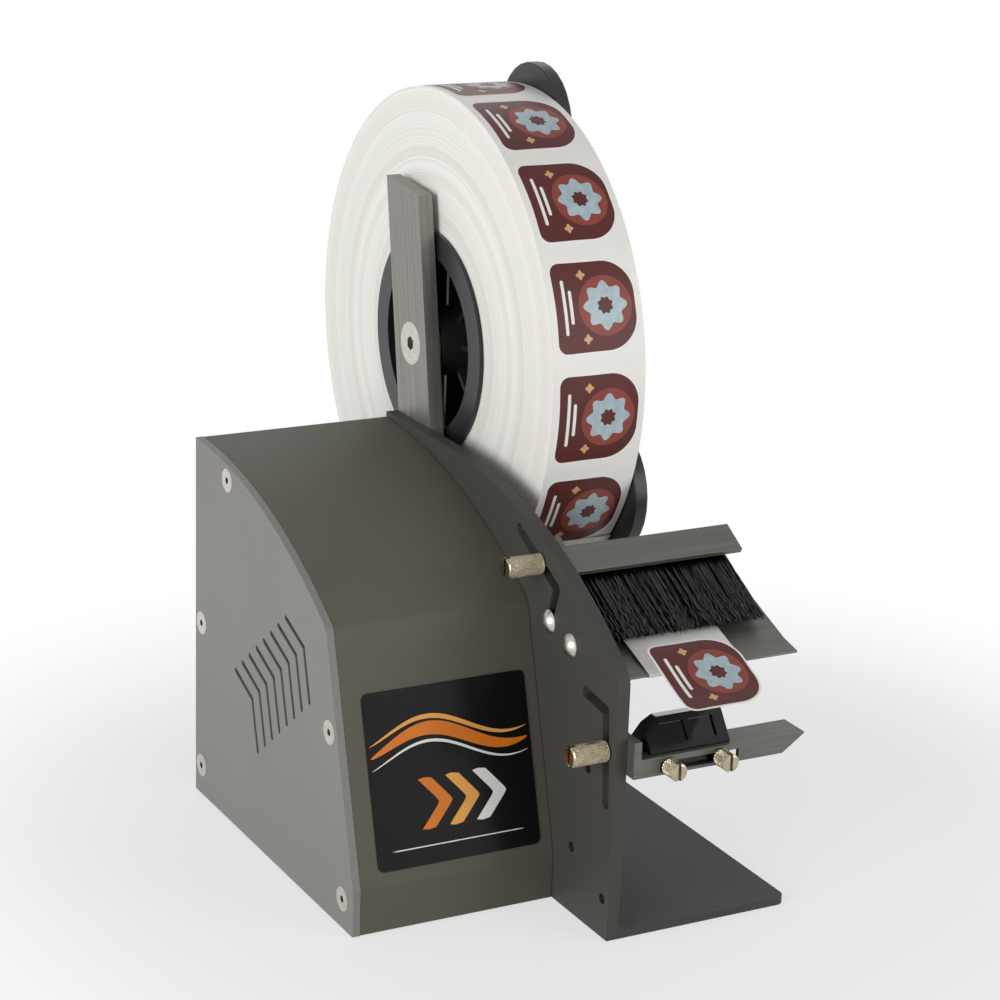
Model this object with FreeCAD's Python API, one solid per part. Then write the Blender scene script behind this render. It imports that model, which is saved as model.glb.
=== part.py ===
import FreeCAD, Part
import math
import os
from FreeCAD import Placement, Rotation, Vector

doc = FreeCAD.newDocument("label_dispenser")

# Driving dimensions in millimetres
sheet = doc.addObject("Spreadsheet::Sheet", "sizes")
DRIVING = [
    ("plate_thickness", 5.0), ("plate_depth", 188.0), ("plate_height", 148.6), ("plate_arc_radius", 212.0),
    ("plate_nose_height", 98.0), ("foot_width", 77.0), ("foot_thickness", 3.0),
    ("housing_width", 81.6), ("panel_thickness", 3.0), ("cover_thickness", 2.0),
    ("housing_front", 40.2), ("lip_height", 17.5), ("bend_back", 66.5), ("bend_height", 108.5),
    ("housing_back_height", 146.5), ("housing_arc_radius", 224.0),
    ("reel_back", 178.0), ("reel_height", 178.5), ("roll_diameter", 200.0), ("web_width", 39.0),
    ("reel_side_gap", 3.0), ("core_bore", 76.2), ("core_wall", 3.2), ("web_thickness", 0.25),
    ("arm_width", 27.7), ("arm_thickness", 6.0), ("arm_lean", 9.4), ("arm_top", 239.7), ("arm_bottom", 96.0),
    ("spindle_diameter", 12.0), ("hub_flange_diameter", 90.0), ("hub_boss_diameter", 28.0),
    ("retainer_reach", 109.0), ("standoff_diameter", 6.0), ("side_screw_head", 9.2),
    ("slot_width", 4.4), ("thumb_screw_diameter", 8.0), ("thumb_screw_length", 15.0),
    ("bracket_length", 71.5), ("peel_slope", 21.0), ("drive_roller_diameter", 18.0),
    ("guide_roller_diameter", 12.0), ("pinch_roller_diameter", 14.0), ("waste_roll_diameter", 44.0),
    ("vent_count", 8.0), ("vent_width", 2.0),
]
for row, (alias, value) in enumerate(DRIVING, start=1):
    sheet.set("A%d" % row, alias)
    sheet.set("B%d" % row, str(value))
    sheet.setAlias("B%d" % row, alias)
doc.recompute()


def size(alias):
    """Value of one driving dimension."""
    return float(sheet.get(alias))


# Every sub-part is drawn from the plate's front edge and then set on the middle of the foot's underside
SHIFT = Vector(-size("foot_width") / 2, -size("plate_depth") / 2, 0)
parts = {}


def add(name, shape):
    """Put one sub-part into the document under its node name."""
    feature = doc.addObject("Part::Feature", name)
    feature.Label = name
    feature.Shape = shape
    feature.Placement = Placement(SHIFT, Rotation())
    parts[name] = feature
    return feature


# Small builders, all in the plate's own coordinates: x to the right, y to the back, z up
def polar(y, z, radius, degrees):
    """Point at a distance and an angle from (y, z), measured from the back towards the top."""
    return (y + radius * math.cos(math.radians(degrees)), z + radius * math.sin(math.radians(degrees)))


def profile(points, x0, x1):
    """Closed side outline drawn in (y, z), made solid from x0 to x1."""
    corners = [Vector(x0, y, z) for y, z in points]
    wire = Part.makePolygon(corners + corners[:1])
    return Part.Face(wire).extrude(Vector(x1 - x0, 0, 0))


def box(x0, x1, y0, y1, z0, z1):
    """Block between two corners."""
    return Part.makeBox(x1 - x0, y1 - y0, z1 - z0, Vector(x0, y0, z0))


def rod(x0, x1, y, z, radius):
    """Round bar along x."""
    return Part.makeCylinder(radius, x1 - x0, Vector(x0, y, z), Vector(1, 0, 0))


def tube(x0, x1, y, z, outer, inner):
    """Hollow round bar along x."""
    return rod(x0, x1, y, z, outer).cut(rod(x0 - 1, x1 + 1, y, z, inner))


def arc_points(y, z, radius, start, end, steps):
    """Points along an arc, from one angle to another."""
    return [polar(y, z, radius, start + (end - start) * i / steps) for i in range(steps + 1)]


def slot(points, width, x0, x1):
    """Round-ended slot that follows a bent line of (y, z) points."""
    cutter = None
    for (ya, za), (yb, zb) in zip(points, points[1:]):
        length = math.hypot(yb - ya, zb - za)
        ny, nz = -(zb - za) / length * width / 2, (yb - ya) / length * width / 2
        corners = [(ya + ny, za + nz), (yb + ny, zb + nz), (yb - ny, zb - nz), (ya - ny, za - nz)]
        leg = profile(corners, x0, x1)
        leg = leg.fuse(rod(x0, x1, ya, za, width / 2)).fuse(rod(x0, x1, yb, zb, width / 2))
        cutter = leg if cutter is None else cutter.fuse(leg)
    return cutter.removeSplitter()


def along(origin, degrees, forward, up):
    """Point reached from origin by going along a slope and then square to it."""
    c, s = math.cos(math.radians(degrees)), math.sin(math.radians(degrees))
    return (origin[0] + forward * c - up * s, origin[1] + forward * s + up * c)


def countersunk(x, y, z, toward, head, shank, length, hex_key):
    """Flat-headed screw whose head face lies at x and whose shank goes toward +x or -x."""
    direction = Vector(toward, 0, 0)
    cone_length = (head - shank) / 2
    cone_foot = Vector(x + toward * COUNTERSUNK_RIM, y, z)
    screw = Part.makeCylinder(head / 2, COUNTERSUNK_RIM, Vector(x, y, z), direction)
    screw = screw.fuse(Part.makeCone(head / 2, shank / 2, cone_length, cone_foot, direction))
    screw = screw.fuse(Part.makeCylinder(shank / 2, length, Vector(x, y, z), direction))
    return screw.removeSplitter().cut(hex_socket(x, y, z, toward, hex_key, cone_length))


def countersink(x, y, z, toward, head, shank, length):
    """Seat that a countersunk screw leaves in the parts it goes through."""
    direction = Vector(toward, 0, 0)
    cone_length = (head - shank) / 2
    rim = COUNTERSUNK_RIM + SEAT_GAP
    cone_foot = Vector(x + toward * rim, y, z)
    seat = Part.makeCylinder(head / 2 + SEAT_GAP, rim, Vector(x, y, z), direction)
    cone = Part.makeCone(head / 2 + SEAT_GAP, shank / 2 + SEAT_GAP, cone_length, cone_foot, direction)
    seat = seat.fuse(cone)
    hole = Part.makeCylinder(shank / 2 + THREAD_GAP, length, Vector(x, y, z), direction)
    return seat.fuse(hole).removeSplitter()


def hex_socket(x, y, z, toward, across, depth):
    """Hexagonal recess for a key."""
    corners = [polar(y, z, across / math.sqrt(3), 60 * i + 30) for i in range(6)]
    return profile(corners, min(x, x + toward * depth), max(x, x + toward * depth))


def screw_set(places, x, toward, head, shank, length, hex_key):
    """Identical countersunk screws as one group of separate solids."""
    return Part.makeCompound([countersunk(x, y, z, toward, head, shank, length, hex_key) for y, z in places])


def tangent_path(circles):
    """Middle line of a web that wraps round circles (y, z, radius, turn), turn being +1 for anticlockwise."""
    legs = []
    for (ya, za, ra, ta), (yb, zb, rb, tb) in zip(circles, circles[1:]):
        dy, dz = yb - ya, zb - za
        distance = math.hypot(dy, dz)
        base = math.degrees(math.atan2(dz, dy))
        lean = math.degrees(math.asin((ta * ra - tb * rb) / distance))
        travel = base + lean
        start = polar(ya, za, ra, travel - 90 * ta)
        end = polar(yb, zb, rb, travel - 90 * tb)
        legs.append((start, end, travel))
    points = [legs[0][0]]
    for i, (start, end, travel) in enumerate(legs):
        points.append(end)
        if i + 1 < len(legs):
            y, z, radius, turn = circles[i + 1]
            a0 = travel - 90 * turn
            sweep = ((legs[i + 1][2] - travel) * turn) % 360 * turn
            count = max(2, int(abs(sweep) / WRAP_STEP) + 1)
            points += arc_points(y, z, radius, a0, a0 + sweep, count)[1:]
    return points


def strip(points, thickness, x0, x1):
    """Thin sheet that follows a line of (y, z) points, half its thickness to each side."""
    left, right = [], []
    for i, (y, z) in enumerate(points):
        ya, za = points[max(i - 1, 0)]
        yb, zb = points[min(i + 1, len(points) - 1)]
        length = math.hypot(yb - ya, zb - za)
        ny, nz = -(zb - za) / length * thickness / 2, (yb - ya) / length * thickness / 2
        left.append((y + ny, z + nz))
        right.append((y - ny, z - nz))
    return profile(left + right[::-1], x0, x1)


# Clearances
RUNNING_FIT = 0.05
THREAD_GAP = 0.02
SEAT_GAP = 0.05
SLIDE_GAP = 0.2
WEB_GAP = 0.3
COUNTERSUNK_RIM = 0.3
WRAP_STEP = 12.0

# Main plate: web and foot bent from one piece
plate_t = size("plate_thickness")
depth = size("plate_depth")
plate_top = size("plate_height")
foot_t = size("foot_thickness")
foot_w = size("foot_width")
plate_r = size("plate_arc_radius")
nose_z = size("plate_nose_height")
PLATE_ARC_LEAD = 0.632
PLATE_NOSE_SETBACK = 3.0
plate_arc_y = plate_r * PLATE_ARC_LEAD
plate_arc_z = plate_top - plate_r
plate_arc_end = 180 - math.degrees(math.acos((plate_arc_y - PLATE_NOSE_SETBACK) / plate_r))
plate_curve = arc_points(plate_arc_y, plate_arc_z, plate_r, 90, plate_arc_end, 24)
plate_outline = [(0, 0), (depth, 0), (depth, plate_top)] + plate_curve + [(0, nose_z)]
PLATE_FILLET = 3.0
FOOT_CORNER = 4.0
plate = profile(plate_outline, 0, plate_t)
foot = box(plate_t, foot_w, 0, depth, 0, foot_t)
foot = foot.makeFillet(FOOT_CORNER, [e for e in foot.Edges if len(e.Vertexes) == 2
                                     and abs(e.CenterOfMass.x - foot_w) < 1e-6
                                     and abs(e.CenterOfMass.z - foot_t / 2) < 1e-6])
corner = box(plate_t, plate_t + PLATE_FILLET, 0, depth, foot_t, foot_t + PLATE_FILLET)
fillet_line = Vector(plate_t + PLATE_FILLET, 0, foot_t + PLATE_FILLET)
corner = corner.cut(Part.makeCylinder(PLATE_FILLET, depth, fillet_line, Vector(0, 1, 0)))
plate = plate.fuse([foot, corner]).removeSplitter()

# Places on the plate, as (back, up)
slot_w = size("slot_width")
UPPER_SLOT = [(74.8, 133.1), (45.7, 119.1), (50.1, 105.3)]
LOWER_SLOT = [(22.1, 87.9), (7.4, 86.0), (5.1, 51.8)]
SMALL_HOLES = [(27.7, 25.6), (4.5, 14.8), (18.3, 60.1)]
SMALL_HOLE_DIAMETER = 4.0
REAR_SCREWS_SETBACK = 5.7
rear_screws = depth - REAR_SCREWS_SETBACK
SIDE_SCREWS = [(157.1, 137.7), (rear_screws, 72.2), (rear_screws, 12.0), (62.7, 70.5), (49.5, 11.1)]
PEEL_SCREWS = [(50.1, 105.3), (34.0, 101.5)]
BRUSH_AXIS = (57.9, 124.97)
SENSOR_AXIS = (6.41, 71.3)
DRIVE_AXIS = (90.0, 66.0)
GUIDE_AXIS = (101.3, 102.6)
REWIND_AXIS = (126.0, 34.0)
MOTOR_AXIS = (140.0, 95.0)
LEVER_AXIS = (114.0, 84.0)
PILLARS = [(86.0, 34.0), (158.0, 33.0), (86.0, 101.0), (159.0, 120.0)]
reel = (size("reel_back"), size("reel_height"))

# Screw sizes: head, shank, key
side_head = size("side_screw_head")
SIDE_SHANK = 4.0
SIDE_LENGTH = 12.0
SIDE_KEY = 2.5
PEEL_SHANK = 4.0
PEEL_HEAD = 9.0
PEEL_HEAD_HEIGHT = 3.0
PEEL_HEAD_DOME = 5.1
PEEL_SOCKET_DEPTH = 1.8
ARM_SCREW_HEAD = 10.0
ARM_SCREW_SHANK = 5.0
ARM_SCREW_KEY = 3.0
SPINDLE_SCREW_HEAD = 17.0
SPINDLE_SCREW_SHANK = 8.0
SPINDLE_SCREW_KEY = 5.0
SPINDLE_SCREW_LENGTH = 22.0
THUMB_SHANK = 4.0

BUSH_RADIUS = 6.5
BUSH_FLANGE_RADIUS = 8.0
BUSH_FLANGE = 1.0
SHAFT_RADIUS = 4.0
PIN_RADIUS = 3.0

arm_lean = size("arm_lean")
arm_t = size("arm_thickness")
arm_w = size("arm_width")
arm_left = plate_t
arm_right = plate_t + arm_t


def arm_middle(z):
    """Back position of the arm's middle line at a height."""
    return reel[0] + (z - reel[1]) * math.tan(math.radians(arm_lean))


ARM_SCREW_HEIGHTS = [108.0, 134.0]
ARM_SCREWS = [(arm_middle(z), z) for z in ARM_SCREW_HEIGHTS]

for points, reach in ((UPPER_SLOT, slot_w), (LOWER_SLOT, slot_w)):
    plate = plate.cut(slot(points, reach, -1, plate_t + 1))
for y, z in SMALL_HOLES:
    plate = plate.cut(rod(-1, plate_t + 1, y, z, SMALL_HOLE_DIAMETER / 2))
for y, z in SIDE_SCREWS + PILLARS:
    plate = plate.cut(countersink(plate_t, y, z, -1, side_head, SIDE_SHANK, SIDE_LENGTH))
for y, z in PEEL_SCREWS:
    plate = plate.cut(rod(-1, plate_t + 1, y, z, PEEL_SHANK / 2 + SLIDE_GAP / 2))
for y, z in ARM_SCREWS:
    plate = plate.cut(rod(-1, plate_t + 1, y, z, ARM_SCREW_SHANK / 2 + THREAD_GAP))
for y, z in (DRIVE_AXIS, REWIND_AXIS):
    plate = plate.cut(rod(-1, plate_t + 1, y, z, BUSH_RADIUS))
for y, z in (GUIDE_AXIS, LEVER_AXIS):
    plate = plate.cut(rod(-1, plate_t + 1, y, z, PIN_RADIUS))
add("main_plate", plate)

# Motor housing: bent cover, side panel with slanted vents, floor pan and rear panel
house_w = size("housing_width")
panel_t = size("panel_thickness")
cover_t = size("cover_thickness")
front_y = size("housing_front")
lip_z = size("lip_height")
bend_y = size("bend_back")
bend_z = size("bend_height")
arc_r = size("housing_arc_radius")
back_z = size("housing_back_height")
panel_x0 = -house_w
panel_x1 = -house_w + panel_t
# centre of the top curve, level on the outline's back end and passing through the upper bend
half_y = (depth - bend_y) / 2
half_z = (back_z - bend_z) / 2
half_chord = math.hypot(half_y, half_z)
rise = math.sqrt(arc_r ** 2 - half_chord ** 2)
arc_y = bend_y + half_y + rise * half_z / half_chord
arc_z = bend_z + half_z - rise * half_y / half_chord
ARC_STEPS = 20
BEND_RADIUS = 6.0


def housing_outline(inset):
    """Side outline of the housing, moved inwards: front foot, slanted front, then the top curve to the back."""
    slope = math.atan2(bend_z - lip_z, bend_y - front_y)
    slant_y = front_y + inset / math.sin(slope)
    lip_meet = lip_z + (front_y + inset - slant_y) * math.tan(slope)
    # the slanted line and the top curve are both moved inwards and meet again
    radius = arc_r - inset
    off_y, off_z = slant_y - arc_y, lip_z - arc_z
    half = off_y * math.cos(slope) + off_z * math.sin(slope)
    travel = -half - math.sqrt(half ** 2 - (off_y ** 2 + off_z ** 2 - radius ** 2))
    if travel < 0:
        travel = -half + math.sqrt(half ** 2 - (off_y ** 2 + off_z ** 2 - radius ** 2))
    meet_y, meet_z = slant_y + travel * math.cos(slope), lip_z + travel * math.sin(slope)
    start = math.degrees(math.atan2(meet_z - arc_z, meet_y - arc_y))
    end = math.degrees(math.acos((depth - arc_y) / radius))
    top_curve = arc_points(arc_y, arc_z, radius, start, end, ARC_STEPS)
    return [(front_y + inset, 0), (front_y + inset, lip_meet)] + top_curve


def housing_solid(inset, x0, x1):
    """Filled housing shape between two planes, its back and bottom left at full size."""
    outline = housing_outline(inset)
    return profile(outline + [(depth, outline[-1][1]), (depth, 0)], x0, x1)


def round_bend(shape, radius, inset):
    """Round the sharp edge where the slanted front meets the top."""
    y, z = housing_outline(inset)[2]
    edges = [e for e in shape.Edges if len(e.Vertexes) == 2
             and all(abs(v.Point.y - y) < 0.01 and abs(v.Point.z - z) < 0.01 for v in e.Vertexes)]
    return shape.makeFillet(radius, edges)


outer = round_bend(housing_solid(0, panel_x1, 0), BEND_RADIUS, 0)
inner = round_bend(housing_solid(cover_t, panel_x1 - 1, 1), BEND_RADIUS - cover_t, cover_t)
add("housing_cover", outer.cut(inner))

VENT = [(147.6, 64.6), (131.6, 58.5), (126.0, 39.3)]
VENT_STEP = (-6.63, 5.23)
panel = round_bend(housing_solid(0, panel_x0, panel_x1), BEND_RADIUS, 0)
for i in range(int(size("vent_count"))):
    moved = [(y + VENT_STEP[0] * i, z + VENT_STEP[1] * i) for y, z in VENT]
    panel = panel.cut(slot(moved, size("vent_width"), panel_x0 - 1, panel_x1 + 1))
for y, z in SIDE_SCREWS:
    panel = panel.cut(countersink(panel_x0, y, z, 1, side_head, SIDE_SHANK, SIDE_LENGTH))
add("housing_side_panel", panel)

# the circuit board stands on four stepped studs pressed into the floor pan
BOARD_WIDTH = 38.0
BOARD_LENGTH = 106.0
BOARD_SIDE_GAP = 4.6
BOARD_REAR_GAP = 18.0
rear_t = cover_t
rear_y = depth - rear_t
BOARD_X = (panel_x1 + BOARD_SIDE_GAP, panel_x1 + BOARD_SIDE_GAP + BOARD_WIDTH)
BOARD_Y = (rear_y - BOARD_REAR_GAP - BOARD_LENGTH, rear_y - BOARD_REAR_GAP)
BOARD_Z = (8.0, 9.6)
BOARD_HOLE_INSET = 4.0
STUD_RADIUS = 3.0
STUD_TIP = 1.5
BOARD_STUDS = [(y, x) for x in (BOARD_X[0] + BOARD_HOLE_INSET, BOARD_X[1] - BOARD_HOLE_INSET)
               for y in (BOARD_Y[0] + BOARD_HOLE_INSET, BOARD_Y[1] - BOARD_HOLE_INSET)]
FLOOR_LIP = 7.0
floor = box(panel_x1, 0, front_y + cover_t, rear_y, 0, cover_t)
floor_lip = box(panel_x1, 0, front_y + cover_t, front_y + 2 * cover_t, cover_t, FLOOR_LIP)
floor = floor.fuse([floor_lip]).removeSplitter()
for y, x in BOARD_STUDS:
    floor = floor.fuse(Part.makeCylinder(STUD_RADIUS, BOARD_Z[0] - cover_t, Vector(x, y, cover_t)))
    floor = floor.fuse(Part.makeCylinder(STUD_TIP, BOARD_Z[1] + 1 - cover_t, Vector(x, y, cover_t)))
add("housing_floor", floor.removeSplitter())

INLET_SETBACK = 18.6
INLET = (panel_x1 + INLET_SETBACK, 34.0)
SWITCH = (-24.0, 34.0)
INLET_HALF = (13.5, 10.0)
SWITCH_HALF = (6.5, 9.6)
rear_top = housing_outline(cover_t)[-1][1] - 0.1
rear = box(panel_x1, 0, rear_y, depth, 0, rear_top)
rear = rear.cut(box(INLET[0] - INLET_HALF[0], INLET[0] + INLET_HALF[0], rear_y - 1, depth + 1,
                    INLET[1] - INLET_HALF[1], INLET[1] + INLET_HALF[1]))
rear = rear.cut(box(SWITCH[0] - SWITCH_HALF[0], SWITCH[0] + SWITCH_HALF[0], rear_y - 1, depth + 1,
                    SWITCH[1] - SWITCH_HALF[1], SWITCH[1] + SWITCH_HALF[1]))
add("rear_panel", rear)

bars = []
for y, z in SIDE_SCREWS:
    bar = rod(panel_x1, 0, y, z, size("standoff_diameter") / 2)
    for x0, x1 in ((panel_x1 - 1, panel_x1 + SIDE_LENGTH), (-SIDE_LENGTH, 1)):
        bar = bar.cut(rod(x0, x1, y, z, SIDE_SHANK / 2 + THREAD_GAP))
    bars.append(bar)
add("housing_standoffs", Part.makeCompound(bars))
add("housing_screws", Part.makeCompound([
    screw_set(SIDE_SCREWS, panel_x0, 1, side_head, SIDE_SHANK, SIDE_LENGTH, SIDE_KEY),
    screw_set(SIDE_SCREWS + PILLARS, plate_t, -1, side_head, SIDE_SHANK, SIDE_LENGTH, SIDE_KEY)]))

# Printed plate on the slanted front
BADGE_LEFT, BADGE_RIGHT = -71.0, -5.0
BADGE_LOW, BADGE_HIGH = 5.0, 69.6
BADGE_THICKNESS = 0.4
slant = math.degrees(math.atan2(bend_z - lip_z, bend_y - front_y))
badge_points = [along((front_y, lip_z), slant, BADGE_LOW, 0), along((front_y, lip_z), slant, BADGE_HIGH, 0),
                along((front_y, lip_z), slant, BADGE_HIGH, BADGE_THICKNESS),
                along((front_y, lip_z), slant, BADGE_LOW, BADGE_THICKNESS)]
badge = profile(badge_points, BADGE_LEFT, BADGE_RIGHT)
BADGE_CORNER = 2.5
badge = badge.makeFillet(BADGE_CORNER, [e for e in badge.Edges if abs(e.Length - BADGE_THICKNESS) < 1e-4])
add("front_badge", badge)

# Reel arm with its screws, spindle, brake and hub
ARM_END_RISE = 3.0
arm_half = arm_w / 2 / math.cos(math.radians(arm_lean))
arm_top = size("arm_top")
arm_bottom = size("arm_bottom")
low_y = arm_middle(arm_bottom)
high_y = arm_middle(arm_top)
arm = profile([(low_y - arm_half, arm_bottom), (low_y + arm_half, arm_bottom),
               (high_y + arm_half, arm_top + ARM_END_RISE / 2),
               (high_y - arm_half, arm_top - ARM_END_RISE / 2)], arm_left, arm_right)
arm = arm.cut(countersink(arm_left, reel[0], reel[1], 1, SPINDLE_SCREW_HEAD, SPINDLE_SCREW_SHANK,
                          SPINDLE_SCREW_LENGTH))
for y, z in ARM_SCREWS:
    arm = arm.cut(countersink(arm_right, y, z, -1, ARM_SCREW_HEAD, ARM_SCREW_SHANK, arm_right + 1))
add("reel_arm", arm)
add("arm_screws", screw_set(ARM_SCREWS, arm_right, -1, ARM_SCREW_HEAD, ARM_SCREW_SHANK, arm_right,
                            ARM_SCREW_KEY))
add("spindle_screw", countersunk(arm_left, reel[0], reel[1], 1, SPINDLE_SCREW_HEAD, SPINDLE_SCREW_SHANK,
                                 SPINDLE_SCREW_LENGTH, SPINDLE_SCREW_KEY))

web_x0 = arm_right + size("reel_side_gap")
web_w = size("web_width")
web_x1 = web_x0 + web_w
roll_r = size("roll_diameter") / 2
core_r = size("core_bore") / 2
core_outer = core_r + size("core_wall")
spindle_r = size("spindle_diameter") / 2
THREADED_END_RADIUS = 5.0
BRAKE_WASHER = 1.5
BRAKE_WASHER_RADIUS = 12.0
CONE_WASHER = 1.2
CONE_WASHER_RISE = 1.0
CONE_WASHER_RADIUS = 9.0
BRAKE_NUT = 5.0
BRAKE_NUT_RADIUS = 9.0
BRAKE_NUT_GRIP = 1.2
HUB_FLANGE = 1.7
HUB_WALL = 2.6
HUB_FIT = 0.15
HUB_RIBS = 8
HUB_RIB = 2.0
HUB_RIB_SETBACK = 7.0
HUB_BUSH_RADIUS = 8.0
HUB_BUSH_LENGTH = 10.0
hub_x0 = arm_right + BRAKE_WASHER
hub_r = core_r - HUB_FIT
boss_r = size("hub_boss_diameter") / 2
hub_flange_r = size("hub_flange_diameter") / 2
nut_x0 = web_x1 + 2 * CONE_WASHER_RISE + 2 * CONE_WASHER
nut_x1 = nut_x0 + BRAKE_NUT

spindle = rod(arm_right, web_x1, reel[0], reel[1], spindle_r)
spindle = spindle.fuse(rod(web_x1, nut_x1 + 1, reel[0], reel[1], THREADED_END_RADIUS)).removeSplitter()
spindle_bore = SPINDLE_SCREW_SHANK / 2 + THREAD_GAP
spindle = spindle.cut(rod(0, arm_left + SPINDLE_SCREW_LENGTH, reel[0], reel[1], spindle_bore))
add("reel_spindle", spindle)
add("brake_washer", tube(arm_right, hub_x0, reel[0], reel[1], BRAKE_WASHER_RADIUS, spindle_r + RUNNING_FIT))


def cone_washer(x, toward):
    """Dished spring washer, its outer edge at x and its inner edge further along."""
    inner_r = THREADED_END_RADIUS + RUNNING_FIT
    lean = CONE_WASHER_RISE * toward
    corners = [(x, CONE_WASHER_RADIUS), (x + lean, inner_r), (x + lean + CONE_WASHER * toward, inner_r),
               (x + CONE_WASHER * toward, CONE_WASHER_RADIUS)]
    wire = Part.makePolygon([Vector(px, reel[0], reel[1] + pr) for px, pr in corners + corners[:1]])
    return Part.Face(wire).revolve(Vector(0, reel[0], reel[1]), Vector(1, 0, 0), 360)


washers_meet = web_x1 + CONE_WASHER_RISE + CONE_WASHER
add("brake_spring_washers", Part.makeCompound([cone_washer(washers_meet, -1), cone_washer(washers_meet, 1)]))
nut = tube(nut_x0, nut_x1, reel[0], reel[1], BRAKE_NUT_RADIUS, THREADED_END_RADIUS + THREAD_GAP)
for degrees in (0, 90, 180, 270):
    gy, gz = polar(reel[0], reel[1], BRAKE_NUT_RADIUS, degrees)
    nut = nut.cut(rod(nut_x0 - 1, nut_x1 + 1, gy, gz, BRAKE_NUT_GRIP))
add("brake_nut", nut)

# Hub: barrel, boss and a thin web between them, stiffened by ribs that can be seen past the arm
hub = tube(hub_x0 + HUB_FLANGE / 2, web_x1 - 1, reel[0], reel[1], hub_r, hub_r - HUB_WALL)
hub = hub.fuse(tube(web_x0 - HUB_FLANGE, web_x0, reel[0], reel[1], hub_flange_r, hub_r - HUB_WALL))
hub = hub.fuse(tube(hub_x0, web_x1, reel[0], reel[1], boss_r, HUB_BUSH_RADIUS))
mid_x = (web_x0 + web_x1) / 2
hub_middle = hub_r - HUB_WALL / 2
hub = hub.fuse(tube(mid_x - HUB_RIB / 2, mid_x + HUB_RIB / 2, reel[0], reel[1], hub_middle,
                    HUB_BUSH_RADIUS + 1))
for i in range(HUB_RIBS):
    rib = box(web_x0 + HUB_RIB_SETBACK, web_x1 - HUB_RIB_SETBACK, reel[0] + boss_r - 1, reel[0] + hub_middle,
              reel[1] - HUB_RIB / 2, reel[1] + HUB_RIB / 2)
    rib.rotate(Vector(0, reel[0], reel[1]), Vector(1, 0, 0), 360.0 * i / HUB_RIBS)
    hub = hub.fuse(rib)
add("reel_hub", hub.removeSplitter())
add("hub_bushes", Part.makeCompound([
    tube(x0, x0 + HUB_BUSH_LENGTH, reel[0], reel[1], HUB_BUSH_RADIUS, spindle_r + RUNNING_FIT)
    for x0 in (hub_x0, web_x1 - HUB_BUSH_LENGTH)]))

# Retainer: three tapering arms with round tips on a ring, pushed into the hub from the right
RETAINER_THICKNESS = 2.5
RETAINER_RIM = 3.0
RETAINER_RIM_WALL = 2.5
RETAINER_HOLE = 15.0
RETAINER_RING = 34.0
RETAINER_PLUG_INSET = 1.0
RETAINER_PLUG_WALL = 2.5
RETAINER_GAP = 0.5
RETAINER_TIP = 25.0
RETAINER_ROOT_HALF = 40.0
RETAINER_TIP_TURN = 98.0
RETAINER_ANGLES = (92.0, 212.0, 332.0)
ret_x0 = web_x1 + RETAINER_GAP
ret_x1 = ret_x0 + RETAINER_THICKNESS
ret_x2 = ret_x1 + RETAINER_RIM
reach = size("retainer_reach")


def lobe_outline(middle, inset):
    """Outline of one arm: from the ring to a round tip and back, moved inwards by an inset."""
    root = RETAINER_RING - RETAINER_RIM - inset
    tip = polar(reel[0], reel[1], reach - RETAINER_TIP, middle)
    turn = RETAINER_TIP_TURN
    points = [polar(reel[0], reel[1], root, middle - RETAINER_ROOT_HALF)]
    points += arc_points(tip[0], tip[1], RETAINER_TIP - inset, middle - turn, middle + turn, 16)
    return points + [polar(reel[0], reel[1], root, middle + RETAINER_ROOT_HALF)]


ret = rod(ret_x0, ret_x1, reel[0], reel[1], RETAINER_RING)
rims = tube(ret_x1, ret_x2, reel[0], reel[1], RETAINER_RING, RETAINER_RING - RETAINER_RIM_WALL)
for middle in RETAINER_ANGLES:
    ret = ret.fuse(profile(lobe_outline(middle, 0.0), ret_x0, ret_x1))
    tall = profile(lobe_outline(middle, 0.0), ret_x1, ret_x2)
    tall = tall.cut(profile(lobe_outline(middle, RETAINER_RIM_WALL), ret_x1 - 1, ret_x2 + 1))
    ring_inside = rod(ret_x1 - 1, ret_x2 + 1, reel[0], reel[1], RETAINER_RING - RETAINER_RIM_WALL)
    rims = rims.fuse(tall.cut(ring_inside))
ret = ret.fuse(rims)
plug_r = hub_r - HUB_WALL - SLIDE_GAP
plug_x0 = web_x1 - HUB_RIB_SETBACK + RETAINER_PLUG_INSET
ret = ret.fuse(tube(plug_x0, ret_x0, reel[0], reel[1], plug_r, plug_r - RETAINER_PLUG_WALL))
ret = ret.cut(rod(ret_x0 - 1, ret_x2 + 1, reel[0], reel[1], RETAINER_HOLE))
add("reel_retainer", ret.removeSplitter())

# Roll of labels on its paper core
add("paper_core", tube(web_x0, web_x1, reel[0], reel[1], core_outer, core_r))
add("label_roll", tube(web_x0, web_x1, reel[0], reel[1], roll_r, core_outer))
LABEL_THICKNESS = 0.25
LABEL_LIFT = 0.05
LABEL_MARGIN = 2.0
LABEL_PITCH = 24.0
LABEL_SPAN = 20.0
LABEL_FIRST = 174.3
labels = []
for i in range(int(round(360 / LABEL_PITCH))):
    start = LABEL_FIRST + i * LABEL_PITCH
    ring = tube(web_x0 + LABEL_MARGIN, web_x1 - LABEL_MARGIN, reel[0], reel[1], roll_r + LABEL_THICKNESS,
                roll_r + LABEL_LIFT)
    wedge = profile([reel, polar(reel[0], reel[1], 2 * roll_r, start),
                     polar(reel[0], reel[1], 2 * roll_r, start + LABEL_SPAN)], web_x0, web_x1)
    labels.append(ring.common(wedge))
add("roll_labels", Part.makeCompound(labels))

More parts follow.
